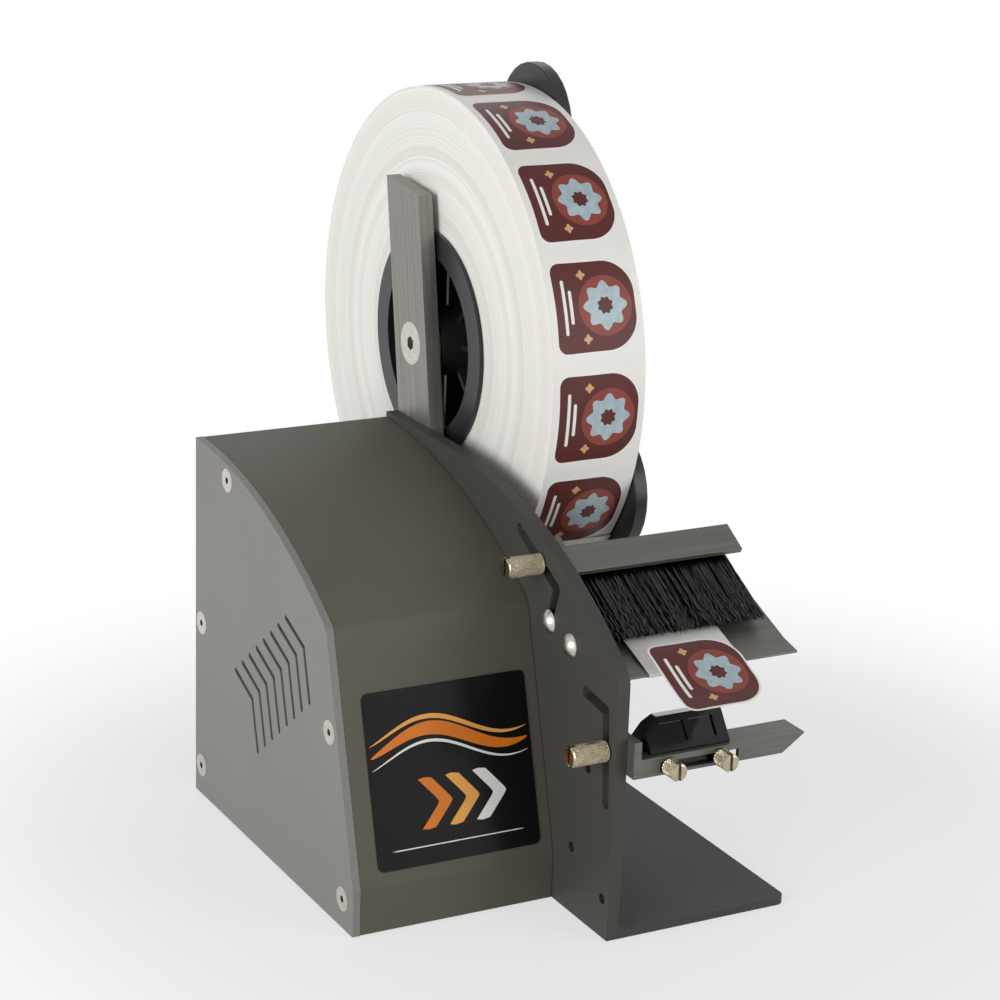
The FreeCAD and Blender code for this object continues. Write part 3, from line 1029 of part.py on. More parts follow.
# Circuit board on its spacers
board = box(BOARD_X[0], BOARD_X[1], BOARD_Y[0], BOARD_Y[1], BOARD_Z[0], BOARD_Z[1])
for y, x in BOARD_STUDS:
    board = board.cut(Part.makeCylinder(STUD_TIP + SEAT_GAP, 4, Vector(x, y, BOARD_Z[0] - 1)))
# parts on the board, from its corner: blocks as two sides and a height, cans as place, radius and height
BOARD_BLOCKS = [((8.0, 30.0), (66.0, 96.0), 24.0), ((2.0, 12.0), (14.0, 38.0), 11.0),
                ((16.0, 34.0), (18.0, 36.0), 15.0)]
BOARD_CANS = [(8.0, 54.0, 6.0, 20.0), (24.0, 52.0, 6.0, 20.0), (16.0, 6.0, 3.5, 9.0)]
top = BOARD_Z[1]
components = [box(BOARD_X[0] + x[0], BOARD_X[0] + x[1], BOARD_Y[0] + y[0], BOARD_Y[0] + y[1], top, top + tall)
              for x, y, tall in BOARD_BLOCKS]
for x, y, radius, tall in BOARD_CANS:
    components.append(Part.makeCylinder(radius, tall, Vector(BOARD_X[0] + x, BOARD_Y[0] + y, top)))
add("circuit_board", Part.makeCompound([board] + components))

# Power inlet and rocker switch in the rear panel
inlet_x, inlet_z = INLET
inlet = box(inlet_x - INLET_HALF[0] + SEAT_GAP, inlet_x + INLET_HALF[0] - SEAT_GAP, rear_y - 16, depth,
            inlet_z - INLET_HALF[1] + SEAT_GAP, inlet_z + INLET_HALF[1] - SEAT_GAP)
inlet = inlet.fuse(box(inlet_x - 18, inlet_x + 18, depth, depth + 2, inlet_z - 12, inlet_z + 12))
inlet = inlet.cut(box(inlet_x - 12, inlet_x + 12, depth - 13, depth + 3, inlet_z - 8, inlet_z + 8))
for pin_x, pin_z in ((-7, -2), (0, 2), (7, -2)):
    inlet = inlet.fuse(box(inlet_x + pin_x - 1, inlet_x + pin_x + 1, depth - 14, depth - 2,
                           inlet_z + pin_z - 2, inlet_z + pin_z + 2))
add("power_inlet", inlet.removeSplitter())
switch_x, switch_z = SWITCH
SWITCH_BODY = 13.0
SWITCH_WALL = 0.9
frame_box = box(switch_x - SWITCH_HALF[0] + SEAT_GAP, switch_x + SWITCH_HALF[0] - SEAT_GAP,
                rear_y - SWITCH_BODY, depth, switch_z - SWITCH_HALF[1] + SEAT_GAP,
                switch_z + SWITCH_HALF[1] - SEAT_GAP)
frame_box = frame_box.fuse(box(switch_x - 9, switch_x + 9, depth, depth + 1.5, switch_z - 12, switch_z + 12))
frame_box = frame_box.cut(box(switch_x - SWITCH_HALF[0] + SWITCH_WALL, switch_x + SWITCH_HALF[0] - SWITCH_WALL,
                              rear_y - SWITCH_BODY + 1.5, depth + 3, switch_z - SWITCH_HALF[1] + SWITCH_WALL,
                              switch_z + SWITCH_HALF[1] - SWITCH_WALL))
add("switch_frame", frame_box.removeSplitter())
ROCKER_AXIS = (depth - 2.5, switch_z)
ROCKER_RADIUS = 8.4
rocker_half = SWITCH_HALF[0] - SWITCH_WALL - SLIDE_GAP
rocker_x = (switch_x - rocker_half, switch_x + rocker_half)
ry, rz = ROCKER_AXIS
# the rocker's side outline about its pivot: level back, pressed lower half and raised upper half
ROCKER = [(-3.0, -9.0), (3.0, -9.0), (4.2, 0.0), (8.0, 9.0), (-3.0, 9.0)]
rocker = profile([(ry + y, rz + z) for y, z in ROCKER], *rocker_x)
rocker = rocker.common(rod(rocker_x[0], rocker_x[1], ry, rz, ROCKER_RADIUS))
PIVOT_STUB = 1.2
rocker = rocker.fuse(rod(rocker_x[0] - SLIDE_GAP + 0.02, rocker_x[1] + SLIDE_GAP - 0.02, ry, rz, PIVOT_STUB))
add("power_switch", rocker.removeSplitter())

# Check every sub-part and write one file for each
doc.recompute()
os.makedirs("parts", exist_ok=True)
for name, feature in parts.items():
    shape = feature.Shape
    if shape.isNull() or not shape.isValid() or not shape.Solids:
        raise ValueError("sub-part is not sound: " + name)
    if "Invalid" in feature.State or "Error" in feature.State:
        raise ValueError("sub-part failed to recompute: " + name)
    shape.exportStep("parts/" + name + ".step")
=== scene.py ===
import math

import bmesh
import bpy
import numpy as np
from mathutils import Matrix, Vector


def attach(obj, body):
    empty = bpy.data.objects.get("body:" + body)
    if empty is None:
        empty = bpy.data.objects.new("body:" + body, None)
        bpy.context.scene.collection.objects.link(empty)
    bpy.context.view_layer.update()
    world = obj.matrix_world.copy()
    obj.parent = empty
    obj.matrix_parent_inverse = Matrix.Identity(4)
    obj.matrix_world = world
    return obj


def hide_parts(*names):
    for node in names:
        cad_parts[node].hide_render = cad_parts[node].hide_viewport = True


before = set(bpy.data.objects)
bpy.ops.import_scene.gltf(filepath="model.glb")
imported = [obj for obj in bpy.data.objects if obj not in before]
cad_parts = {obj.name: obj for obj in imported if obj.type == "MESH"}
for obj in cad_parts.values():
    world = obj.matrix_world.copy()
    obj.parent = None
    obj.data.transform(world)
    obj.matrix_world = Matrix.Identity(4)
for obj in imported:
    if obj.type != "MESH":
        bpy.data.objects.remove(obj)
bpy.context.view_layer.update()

bl_info = {
    "name": "Label dispenser",
    "version": (1, 0, 0),
    "blender": (4, 5, 0),
    "location": "3D View > Sidebar > Dispenser",
    "description": "Dresses a label dispenser: coated sheet metal, printed labels, brush and knurled screws",
    "category": "Object",
}

MM = 0.001
# All sizes below are in mm from the machine's own zero: x from the plate's left face, y back from its front
# edge, z up from the table. ORIGIN carries that zero to the middle of the foot.
ORIGIN = np.array([-38.5, -94.0, 0.0])
REEL_BACK, REEL_UP = 178.0, 178.5
ROLL_LEFT, ROLL_RIGHT = 14.0, 53.0
ROLL_RADIUS, CORE_RADIUS = 100.0, 41.3
LABEL_LEFT, LABEL_WIDTH = 16.0, 35.0
# lower and upper end of the housing's sloping front, as (y, z)
SLANT_FOOT = (40.2, 17.5)
SLANT_TOP = (66.5, 108.5)
SLANT_LEAN = math.atan2(SLANT_TOP[1] - SLANT_FOOT[1], SLANT_TOP[0] - SLANT_FOOT[0])


def linear(hex_colour):
    """sRGB hex colour as linear: c / 12.92 below 0.04045, else ((c + 0.055) / 1.055) to the power 2.4."""
    value = np.array([int(hex_colour[i:i + 2], 16) for i in (1, 3, 5)]) / 255
    return tuple(np.where(value <= 0.04045, value / 12.92, ((value + 0.055) / 1.055) ** 2.4).tolist())


def colour(name, text, default):
    """Colour that a user may change."""
    return bpy.props.FloatVectorProperty(name=name, description=text, default=linear(default),
                                         subtype="COLOR", min=0.0, max=1.0)


class DispenserColours(bpy.types.PropertyGroup):
    coat: colour("Coat", "Powder coat on the plate and the rear panel", "#474542")
    # the side panel's coat is the housing's paint, painted lighter for the light that falls on that side
    side: colour("Side coat", "Powder coat on the housing's side panel", "#7e7c78")
    slope: colour("Housing coat", "Powder coat on the bent housing cover", "#5c5a4f")
    aluminium: colour("Aluminium", "Anodised arm", "#8c8983")
    plastic: colour("Plastic", "Moulded hub, retainer and pulleys", "#151517")
    ink: colour("Label ground", "Ground colour printed on the labels", "#57231f")
    ink_light: colour("Label panel", "Lighter ink on the labels", "#8c4036")
    motif: colour("Label motif", "Rosette printed on the labels", "#a9bcc3")
    badge: colour("Badge ground", "Ground colour of the printed plate", "#100e0e")
    accent: colour("Badge accent", "Bright ink of the printed plate", "#e07c1e")


class DispenserSizes(bpy.types.PropertyGroup):
    edge: bpy.props.FloatProperty(name="Edge", description="Radius on the sheet metal's edges",
                                  default=0.4 * MM, min=0.0, max=MM, subtype="DISTANCE", unit="LENGTH")
    knurls: bpy.props.IntProperty(name="Knurls", description="Grooves round each knurled head", default=22,
                                  min=12, max=40)
    bristles: bpy.props.IntProperty(name="Bristles", description="Bristles in the strip brush", default=1500,
                                    min=200, max=3000)
    bristle: bpy.props.FloatProperty(name="Bristle", description="Diameter of one bristle", default=0.42 * MM,
                                     min=0.1 * MM, max=MM, subtype="DISTANCE", unit="LENGTH")
    pitch: bpy.props.FloatProperty(name="Label pitch", description="Turn of the roll from label to label",
                                   default=math.radians(24.0), min=0.2, max=1.5, subtype="ANGLE",
                                   unit="ROTATION")
    label_length: bpy.props.FloatProperty(name="Label length", description="Length of a label along the web",
                                          default=34.9 * MM, min=0.01, max=0.04, subtype="DISTANCE",
                                          unit="LENGTH")


def sizes():
    """The sizes as the user has set them."""
    return bpy.context.scene.dispenser_sizes


# Finishes
def add_node(tree, kind, inputs=None, **settings):
    """One shader node with its settings, its constants and its links."""
    made = tree.nodes.new(kind)
    for key, value in settings.items():
        setattr(made, key, value)
    for key, value in (inputs or {}).items():
        if isinstance(value, bpy.types.NodeSocket):
            tree.links.new(value, made.inputs[key])
        else:
            made.inputs[key].default_value = value
    return made


def tinted(base, spread):
    """A colour made darker or lighter by a share of itself."""
    return (*[min(1.0, c * (1 + spread)) for c in base], 1.0)


def ramp_between(ramp, stops):
    """Stops of a colour ramp, as (position, colour)."""
    elements = ramp.color_ramp.elements
    while len(elements) < len(stops):
        elements.new(0.5)
    for element, (position, value) in zip(elements, stops):
        element.position = position
        element.color = value


def worked_surface(name, base, spread, rough, shade_mm, grain_mm, relief_mm, stretch=(1, 1, 1), turn=0.0,
                   gather_mm=0.0, **shader):
    """Finish with a slow change of shade and a fine grain that moves its roughness and raises its relief.

    stretch and turn draw the pattern out along the way the metal was brushed; the last named argument, a distance
    in mm, paints shade into slots and inner corners up to that distance."""
    material = bpy.data.materials.new(name)
    material.use_nodes = True
    tree = material.node_tree
    tree.nodes.clear()
    bsdf = add_node(tree, "ShaderNodeBsdfPrincipled", shader)
    add_node(tree, "ShaderNodeOutputMaterial", {"Surface": bsdf.outputs[0]})
    coords = add_node(tree, "ShaderNodeTexCoord").outputs["Object"]
    drawn = add_node(tree, "ShaderNodeMapping", {"Vector": coords, "Scale": stretch, "Rotation": (turn, 0, 0)},
                     vector_type="TEXTURE").outputs[0]
    shade = add_node(tree, "ShaderNodeTexNoise", {"Vector": drawn, "Scale": 1000 / shade_mm, "Detail": 3.0})
    grain = add_node(tree, "ShaderNodeTexNoise", {"Vector": drawn, "Scale": 1000 / grain_mm, "Detail": 2.0})
    ramp = add_node(tree, "ShaderNodeValToRGB", {"Fac": shade.outputs["Fac"]})
    ramp_between(ramp, [(0.3, tinted(base, -spread)), (0.7, tinted(base, spread))])
    shown = ramp.outputs["Color"]
    if gather_mm:
        # painted shade: slots and inner corners are darkened as if no light reached them
        near = add_node(tree, "ShaderNodeAmbientOcclusion", {"Distance": gather_mm * MM},
                        samples=8, only_local=True)
        painted_shade = add_node(tree, "ShaderNodeMapRange",
                        {"Value": near.outputs["AO"], "From Min": 0.15, "From Max": 0.6, "To Min": 0.12,
                         "To Max": 1.0}).outputs["Result"]
        # inputs 0, 6 and 7 are the share and the two colours, output 2 the mixed colour
        shown = add_node(tree, "ShaderNodeMix", {0: 1.0, 6: shown, 7: painted_shade}, data_type="RGBA",
                         blend_type="MULTIPLY").outputs[2]
    tree.links.new(shown, bsdf.inputs["Base Color"])
    gloss = add_node(tree, "ShaderNodeMapRange",
                     {"Value": grain.outputs["Fac"], "From Min": 0.3, "From Max": 0.7, "To Min": rough - 0.05,
                      "To Max": rough + 0.08})
    tree.links.new(gloss.outputs["Result"], bsdf.inputs["Roughness"])
    if relief_mm:
        relief = add_node(tree, "ShaderNodeBump",
                          {"Height": grain.outputs["Fac"], "Distance": relief_mm * MM, "Strength": 0.5})
        tree.links.new(relief.outputs["Normal"], bsdf.inputs["Normal"])
    return material


ARM_TURN = math.radians(-9.4)
# Each finish: real material and process; colour, or the name of the user's; spread of shade; roughness;
# size of shade, size of grain and height of relief in mm; the rest
FINISHES = {
    # even and matt with a slight orange peel, coarser than the real 0.3 mm so that it shows; shade is painted
    # into its slots and inner corners
    "coat": ("polyester_powder_coat_fine_texture", "coat", 0.05, 0.5, 70, 0.8, 0.05,
             {"IOR": 1.5, "Specular IOR Level": 0.2, "gather_mm": 6.0}),
    # the housing's paint, painted a lighter grey for the light that falls on the side panel, and with painted
    # shade inside the vents
    "side": ("polyester_powder_coat_light_grey", "side", 0.04, 0.5, 80, 0.8, 0.05,
             {"IOR": 1.5, "gather_mm": 5.0}),
    "slope": ("polyester_powder_coat_on_bent_steel", "slope", 0.06, 0.5, 90, 0.8, 0.05,
              {"IOR": 1.5, "Specular IOR Level": 0.25}),
    # long parallel scratches that catch the light along the arm
    "arm": ("anodised_aluminium_brushed_lengthwise", "aluminium", 0.16, 0.42, 1.6, 0.8, 0.03,
            {"Metallic": 0.75, "stretch": (1, 1, 30), "turn": ARM_TURN}),
    # scratches along the sheet's length, with a satin sheen
    "rail": ("anodised_aluminium_brushed_across", "#6c6a65", 0.1, 0.42, 1.6, 0.8, 0.03,
             {"Metallic": 0.6, "stretch": (30, 1, 1)}),
    # bright with faint clouds, as plated steel is
    "zinc": ("bright_zinc_plated_steel", "#c9c4ba", 0.1, 0.28, 3, 0.5, 0, {"Metallic": 1.0}),
    "nickel": ("nickel_plated_turned_steel", "#b5ab94", 0.12, 0.22, 3, 0.5, 0, {"Metallic": 1.0}),
    # fine turning marks round the bar give a grey, soft shine
    "steel": ("ground_bearing_steel", "#9b9893", 0.08, 0.32, 4, 0.5, 0.01,
              {"Metallic": 1.0, "stretch": (0.2, 1, 1)}),
    # satin black with the mould's spark-eroded grain
    "plastic": ("injection_moulded_abs_satin_black", "plastic", 0.2, 0.36, 30, 0.5, 0.03,
                {"IOR": 1.53, "Specular IOR Level": 0.35}),
    # moulded in a smoother tool, so it has more shine
    "hub": ("injection_moulded_polyamide_black", "#232324", 0.2, 0.33, 20, 0.9, 0.02,
            {"IOR": 1.53, "Specular IOR Level": 0.4}),
    # a polished tool leaves it nearly mirror-smooth
    "gloss": ("injection_moulded_abs_gloss_black", "#0a0a0b", 0.15, 0.16, 30, 0.6, 0.01,
              {"IOR": 1.53, "Specular IOR Level": 0.35}),
    # dull, with a ground surface
    "rubber": ("ground_nitrile_rubber", "#1d1d1d", 0.2, 0.78, 8, 0.8, 0.05, {"IOR": 1.52}),
    # pores darken the warm metal
    "bronze": ("sintered_bronze", "#9c7a48", 0.2, 0.42, 0.8, 0.5, 0.02, {"Metallic": 1.0}),
    # green lacquer over copper tracks shows as a faint mottle
    "board": ("solder_masked_glass_laminate", "#154021", 0.3, 0.35, 5, 1.0, 0.02, {"IOR": 1.5}),
    # fluffy and without shine
    "felt": ("pressed_wool_felt", "#635f57", 0.2, 0.92, 1.5, 0.6, 0.1, {"IOR": 1.45}),
    # smooth, nearly white and slightly waxy
    "liner": ("calendered_glassine_release_liner", "#f1efe9", 0.02, 0.4, 12, 1.5, 0.01, {"IOR": 1.45}),
    "stock": ("coated_white_label_paper", "#f4f3ef", 0.015, 0.45, 10, 1.2, 0.01, {"IOR": 1.48}),
    # grey-brown board with visible fibres
    "core": ("spiral_wound_cardboard", "#98836b", 0.12, 0.85, 2.5, 0.9, 0.05, {"stretch": (1, 3, 3)}),
    # inks under varnish: even, a little glossy
    "ink": ("brown_flexographic_ink_varnished", "ink", 0.1, 0.34, 9, 0.25, 0,
            {"IOR": 1.5, "Specular IOR Level": 0.3}),
    "ink_light": ("russet_flexographic_ink_varnished", "ink_light", 0.1, 0.34, 9, 0.25, 0,
                  {"IOR": 1.5, "Specular IOR Level": 0.3}),
    "ink_white": ("white_flexographic_ink_varnished", "#eeece7", 0.02, 0.32, 6, 1, 0, {"IOR": 1.5}),
    "ink_silver": ("silver_grey_flexographic_ink_varnished", "motif", 0.12, 0.3, 2.5, 1, 0, {"IOR": 1.5}),
    "ink_buff": ("buff_flexographic_ink_varnished", "#d3a374", 0.06, 0.32, 6, 1, 0, {"IOR": 1.5}),
    # screen-printed polyester film: deep, even colours under a clear skin
    "film": ("screen_printed_polyester_film_black", "badge", 0.1, 0.27, 30, 0.4, 0,
             {"IOR": 1.58, "Specular IOR Level": 0.12}),
    "film_accent": ("screen_printed_polyester_film_orange", "accent", 0.06, 0.3, 12, 2, 0,
                    {"IOR": 1.58, "Specular IOR Level": 0.2}),
    "film_amber": ("screen_printed_polyester_film_amber", "#f2ab50", 0.05, 0.3, 12, 2, 0,
                   {"IOR": 1.58, "Specular IOR Level": 0.2}),
    "film_white": ("screen_printed_polyester_film_white", "#efede9", 0.02, 0.24, 12, 2, 0, {"IOR": 1.58}),
    # each fibre has a thin shine along its length
    "bristle": ("crimped_nylon_bristle", "#060606", 0.3, 0.19, 4, 0.5, 0, {"IOR": 1.53}),
    # black that mirrors the room
    "window": ("polished_acrylic_window", "#060608", 0.1, 0.06, 20, 4, 0, {"IOR": 1.49}),
}


def finish(key):
    """Material for a finish, made when it is first asked for."""
    name, base, spread, rough, shade_mm, grain_mm, relief_mm, extra = FINISHES[key]
    if name in bpy.data.materials:
        return bpy.data.materials[name]
    base = linear(base) if base.startswith("#") else tuple(getattr(bpy.context.scene.dispenser_colours, base))
    return worked_surface(name, base, spread, rough, shade_mm, grain_mm, relief_mm, **extra)


def seen_rays(tree):
    """1 for what is seen directly, in a gloss or through glass, and 0 for rays that only light things."""
    path = add_node(tree, "ShaderNodeLightPath").outputs
    seen = path["Is Camera Ray"]
    for other in ("Is Glossy Ray", "Is Transmission Ray"):
        seen = add_node(tree, "ShaderNodeMath", {0: seen, 1: path[other]}, operation="MAXIMUM").outputs[0]
    return seen


def wound_edges():
    """Side of a wound roll: each turn's edge is a fine ring, drawn 1 mm apart as 0.15 mm would not show."""
    name = "wound_label_stock_slit_edges"
    material = bpy.data.materials.new(name)
    material.use_nodes = True
    tree = material.node_tree
    tree.nodes.clear()
    bsdf = add_node(tree, "ShaderNodeBsdfPrincipled", {"Roughness": 0.62, "IOR": 1.45})
    add_node(tree, "ShaderNodeOutputMaterial", {"Surface": bsdf.outputs[0]})
    coords = add_node(tree, "ShaderNodeTexCoord").outputs["Object"]
    centre = (np.array([0.0, REEL_BACK, REEL_UP]) + ORIGIN) * MM
    from_axis = add_node(tree, "ShaderNodeMapping",
                         {"Vector": coords, "Location": (0.0, -centre[1], -centre[2]),
                          "Scale": (0.0, 1.0, 1.0)})
    radius = add_node(tree, "ShaderNodeVectorMath", {0: from_axis.outputs[0]},
                      operation="LENGTH").outputs["Value"]
    rings = add_node(tree, "ShaderNodeTexNoise",
                     {"W": radius, "Scale": 1000.0, "Detail": 3.0, "Roughness": 0.7},
                     noise_dimensions="1D").outputs["Fac"]
    bands = add_node(tree, "ShaderNodeTexNoise", {"W": radius, "Scale": 110.0, "Detail": 2.0},
                     noise_dimensions="1D").outputs["Fac"]
    mixed = add_node(tree, "ShaderNodeMath", {0: rings, 1: bands}, operation="MULTIPLY").outputs[0]
    ramp = add_node(tree, "ShaderNodeValToRGB", {"Fac": mixed})
    ramp_between(ramp, [(0.12, (*linear("#e1dfd6"), 1.0)), (0.24, (*linear("#efede6"), 1.0)),
                        (0.38, (*linear("#f8f7f2"), 1.0))])
    tree.links.new(ramp.outputs["Color"], bsdf.inputs["Base Color"])
    relief = add_node(tree, "ShaderNodeBump", {"Height": rings, "Distance": 0.1 * MM, "Strength": 0.3})
    tree.links.new(relief.outputs["Normal"], bsdf.inputs["Normal"])
    return material


# Meshes
def mesh_of(name, grids, closed=True):
    """Mesh of grids, each (rows x columns x 3 points in mm, wrap rows, wrap columns, slot number)."""
    verts, faces, slots, start = [], [], [], 0
    for points, wrap_rows, wrap_columns, number in grids:
        rows, columns = points.shape[:2]
        a, b = np.meshgrid(np.arange(rows if wrap_rows else rows - 1),
                           np.arange(columns if wrap_columns else columns - 1), indexing="ij")
        a, b = a.ravel(), b.ravel()
        c, d = (a + 1) % rows, (b + 1) % columns
        corners = [a * columns + b, c * columns + b, c * columns + d, a * columns + d]
        faces.append(start + np.stack(corners, axis=1))
        slots.append(np.full(len(a), number))
        verts.append((points.reshape(-1, 3) + ORIGIN) * MM)
        start += rows * columns
    verts, faces = np.concatenate(verts), np.concatenate(faces)
    mesh = bpy.data.meshes.new(name)
    mesh.vertices.add(len(verts))
    mesh.vertices.foreach_set("co", verts.ravel())
    mesh.loops.add(faces.size)
    mesh.loops.foreach_set("vertex_index", faces.ravel())
    mesh.polygons.add(len(faces))
    mesh.polygons.foreach_set("loop_start", np.arange(0, faces.size, 4))
    mesh.polygons.foreach_set("material_index", np.concatenate(slots))
    mesh.update(calc_edges=True)
    if closed:
        work = bmesh.new()
        work.from_mesh(mesh)
        bmesh.ops.remove_doubles(work, verts=work.verts, dist=2e-7)
        bmesh.ops.recalc_face_normals(work, faces=work.faces)
        work.to_mesh(mesh)
        work.free()
    mesh.validate()
    return mesh


def piece(name, mesh, materials, body, smooth_angle=35.0, stands_for=()):
    """Object with its materials, riding on a body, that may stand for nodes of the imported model."""
    obj = bpy.data.objects.new(name, mesh)
    bpy.context.scene.collection.objects.link(obj)
    for material in materials:
        mesh.materials.append(material)
    mesh.polygons.foreach_set("use_smooth", np.ones(len(mesh.polygons), dtype=bool))
    mesh.set_sharp_from_angle(angle=math.radians(smooth_angle))
    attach(obj, body)
    if stands_for:
        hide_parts(*stands_for)
    return obj


def rounded(node, material, body, edge_mm):
    """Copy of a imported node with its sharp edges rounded, standing in for it."""
    angle = 30.0
    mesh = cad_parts[node].data.copy()
    work = bmesh.new()
    work.from_mesh(mesh)
    bmesh.ops.remove_doubles(work, verts=work.verts, dist=2e-6)
    bmesh.ops.dissolve_limit(work, angle_limit=math.radians(0.5), verts=work.verts, edges=work.edges)
    work.to_mesh(mesh)
    work.free()
    if mesh.has_custom_normals:
        mesh.normals_split_custom_set([(0.0, 0.0, 0.0)] * len(mesh.loops))
    mesh.materials.clear()
    obj = piece(node + "_finished", mesh, [material], body, angle, (node,))
    bevel = obj.modifiers.new("rounded edges", "BEVEL")
    bevel.width = edge_mm * MM
    bevel.segments = 2
    bevel.limit_method = "ANGLE"
    bevel.angle_limit = math.radians(angle)
    bevel.use_clamp_overlap = True
    bevel.harden_normals = True
    return obj


def flat_patch(outline, surface, low, high, number, rings=3):
    """Thin closed shell over a star-shaped outline: rings run from middle to rim on top and back below."""
    middle = outline.mean(axis=0)
    share = np.concatenate([np.linspace(0, 1, rings + 1), np.linspace(1, 0, rings + 1)])
    lift = np.concatenate([np.full(rings + 1, high), np.full(rings + 1, low)])
    flat = middle + (outline - middle)[None, :, :] * share[:, None, None]
    points = surface(flat[..., 0], flat[..., 1], np.broadcast_to(lift[:, None], flat.shape[:2]))
    return points, False, True, number


def flat_band(left, right, surface, low, high, number):
    """Thin closed shell between two lines of points, pinched shut at both ends."""
    middle = (left + right) / 2
    left, right = left.copy(), right.copy()
    left[[0, -1]] = right[[0, -1]] = middle[[0, -1]]
    rows = []
    for line, lift in ((left, high), (right, high), (right, low), (left, low)):
        pinch = np.full(len(line), lift)
        pinch[[0, -1]] = high
        rows.append(surface(line[:, 0], line[:, 1], pinch))
    return np.stack(rows), True, False, number


def rounded_outline(width, height, radii, count=96):
    """Closed outline of a rectangle from (0, 0) to (width, height) whose four corners have their own radii.

    Its points are spread evenly, so that the long sides follow a curved surface as well as the corners do."""
    corners = (((0, 0), (1, 1), 180), ((width, 0), (-1, 1), 270), ((width, height), (-1, -1), 0),
               ((0, height), (1, -1), 90))
    points = []
    for ((x, y), (sx, sy), start), radius in zip(corners, radii):
        a = np.radians(start + np.linspace(0, 90, 16))
        arc = [x + sx * radius + radius * np.cos(a), y + sy * radius + radius * np.sin(a)]
        points.append(np.stack(arc, axis=1))
    points = np.concatenate(points)
    ring = np.vstack([points, points[:1]])
    reach = np.concatenate([[0.0], np.cumsum(np.linalg.norm(np.diff(ring, axis=0), axis=1))])
    even = np.linspace(0, reach[-1], count, endpoint=False)
    return np.stack([np.interp(even, reach, ring[:, k]) for k in (0, 1)], axis=1)


def inset(outline, by):
    """Outline moved inwards, each point towards the middle by the same distance."""
    middle = outline.mean(axis=0)
    out = outline - middle
    return middle + out * (1 - by / np.linalg.norm(out, axis=1, keepdims=True))


def disc(x, y, radius, waves=0, depth=0.0, steps=64):
    """Round outline whose radius swings by a depth, a number of times round."""
    a = np.linspace(0, 2 * np.pi, steps, endpoint=False)
    r = radius * (1 + depth * np.cos(waves * a))
    return np.stack([x + r * np.cos(a), y + r * np.sin(a)], axis=1)


def label_layers(surface, length, base_low, base_high, step):
    """One printed label: white stock, brown ground, russet disc, rosette, white bars and a buff lozenge."""
    stock, ground, panel, motif, bar_ink, lozenge_ink = range(6)
    white_rim, rosette, petals, lozenge_across, lozenge_along = 0.8, 21.5, 8, 13.0, 5.6
    edge = rounded_outline(LABEL_WIDTH, length, (4.0, 13.0, 13.0, 4.0))
    layers = [flat_patch(edge, surface, base_low, base_high, stock, 6)]
    top = base_high
    layers.append(flat_patch(inset(edge, white_rim), surface, top, top + step, ground, 6))
    top += step
    # disc, rosette and its eye, one on the other
    discs = ((11.2, 0, 0.0, 64, panel, 4), (8.2, petals, 0.13, 96, motif, 4), (3.0, petals, -0.12, 64, ground, 2))
    for i, (radius, waves, depth, points, ink, rings) in enumerate(discs):
        outline = disc(rosette, length / 2, radius, waves, depth, points)
        layers.append(flat_patch(outline, surface, top + i * step, top + (i + 1) * step, ink, rings))
    for across, low, high in ((4.0, 7.0, 27.5), (6.6, 11.0, 23.5)):
        bar = rounded_outline(1.3, high - low, (0.6, 0.6, 0.6, 0.6), 72) + np.array([across, low])
        layers.append(flat_patch(bar, surface, top, top + step, bar_ink, 2))
    for along in (lozenge_along, length - lozenge_along):
        lozenge = disc(lozenge_across, along, 1.5, 4, 0.25, 32)
        layers.append(flat_patch(lozenge, surface, top, top + step, lozenge_ink, 2))
    return layers


# in the order of the slot numbers above
LABEL_INKS = ("stock", "ink", "ink_light", "ink_silver", "ink_white", "ink_buff")
INK_STEP = 0.045


class DISPENSER_OT_sheet_metal(bpy.types.Operator):
    """Round the edges of the plate, the housing, the arm and the brackets and give them their coats"""
    bl_idname = "dispenser.sheet_metal"
    bl_label = "Sheet metal"

    def execute(self, context):
        edge = sizes().edge / MM
        rounded("main_plate", finish("coat"), "stand", edge)
        rounded("housing_cover", finish("slope"), "stand", edge)
        rounded("housing_side_panel", finish("side"), "stand", edge / 2)
        rounded("reel_arm", finish("arm"), "stand", edge)
        rounded("peel_plate", finish("rail"), "stand", edge)
        rounded("brush_bracket", finish("rail"), "brush", edge)
        rounded("sensor_bracket", finish("rail"), "sensor_rail", edge / 2)
        return {"FINISHED"}


class DISPENSER_OT_mouldings(bpy.types.Operator):
    """Round the edges of the moulded hub, the retainer and the sensor"""
    bl_idname = "dispenser.mouldings"
    bl_label = "Mouldings"

    def execute(self, context):
        rounded("reel_hub", finish("hub"), "reel", 0.3)
        rounded("reel_retainer", finish("hub"), "retainer", 0.5)
        rounded("sensor_body", finish("gloss"), "sensor", 0.5)
        return {"FINISHED"}


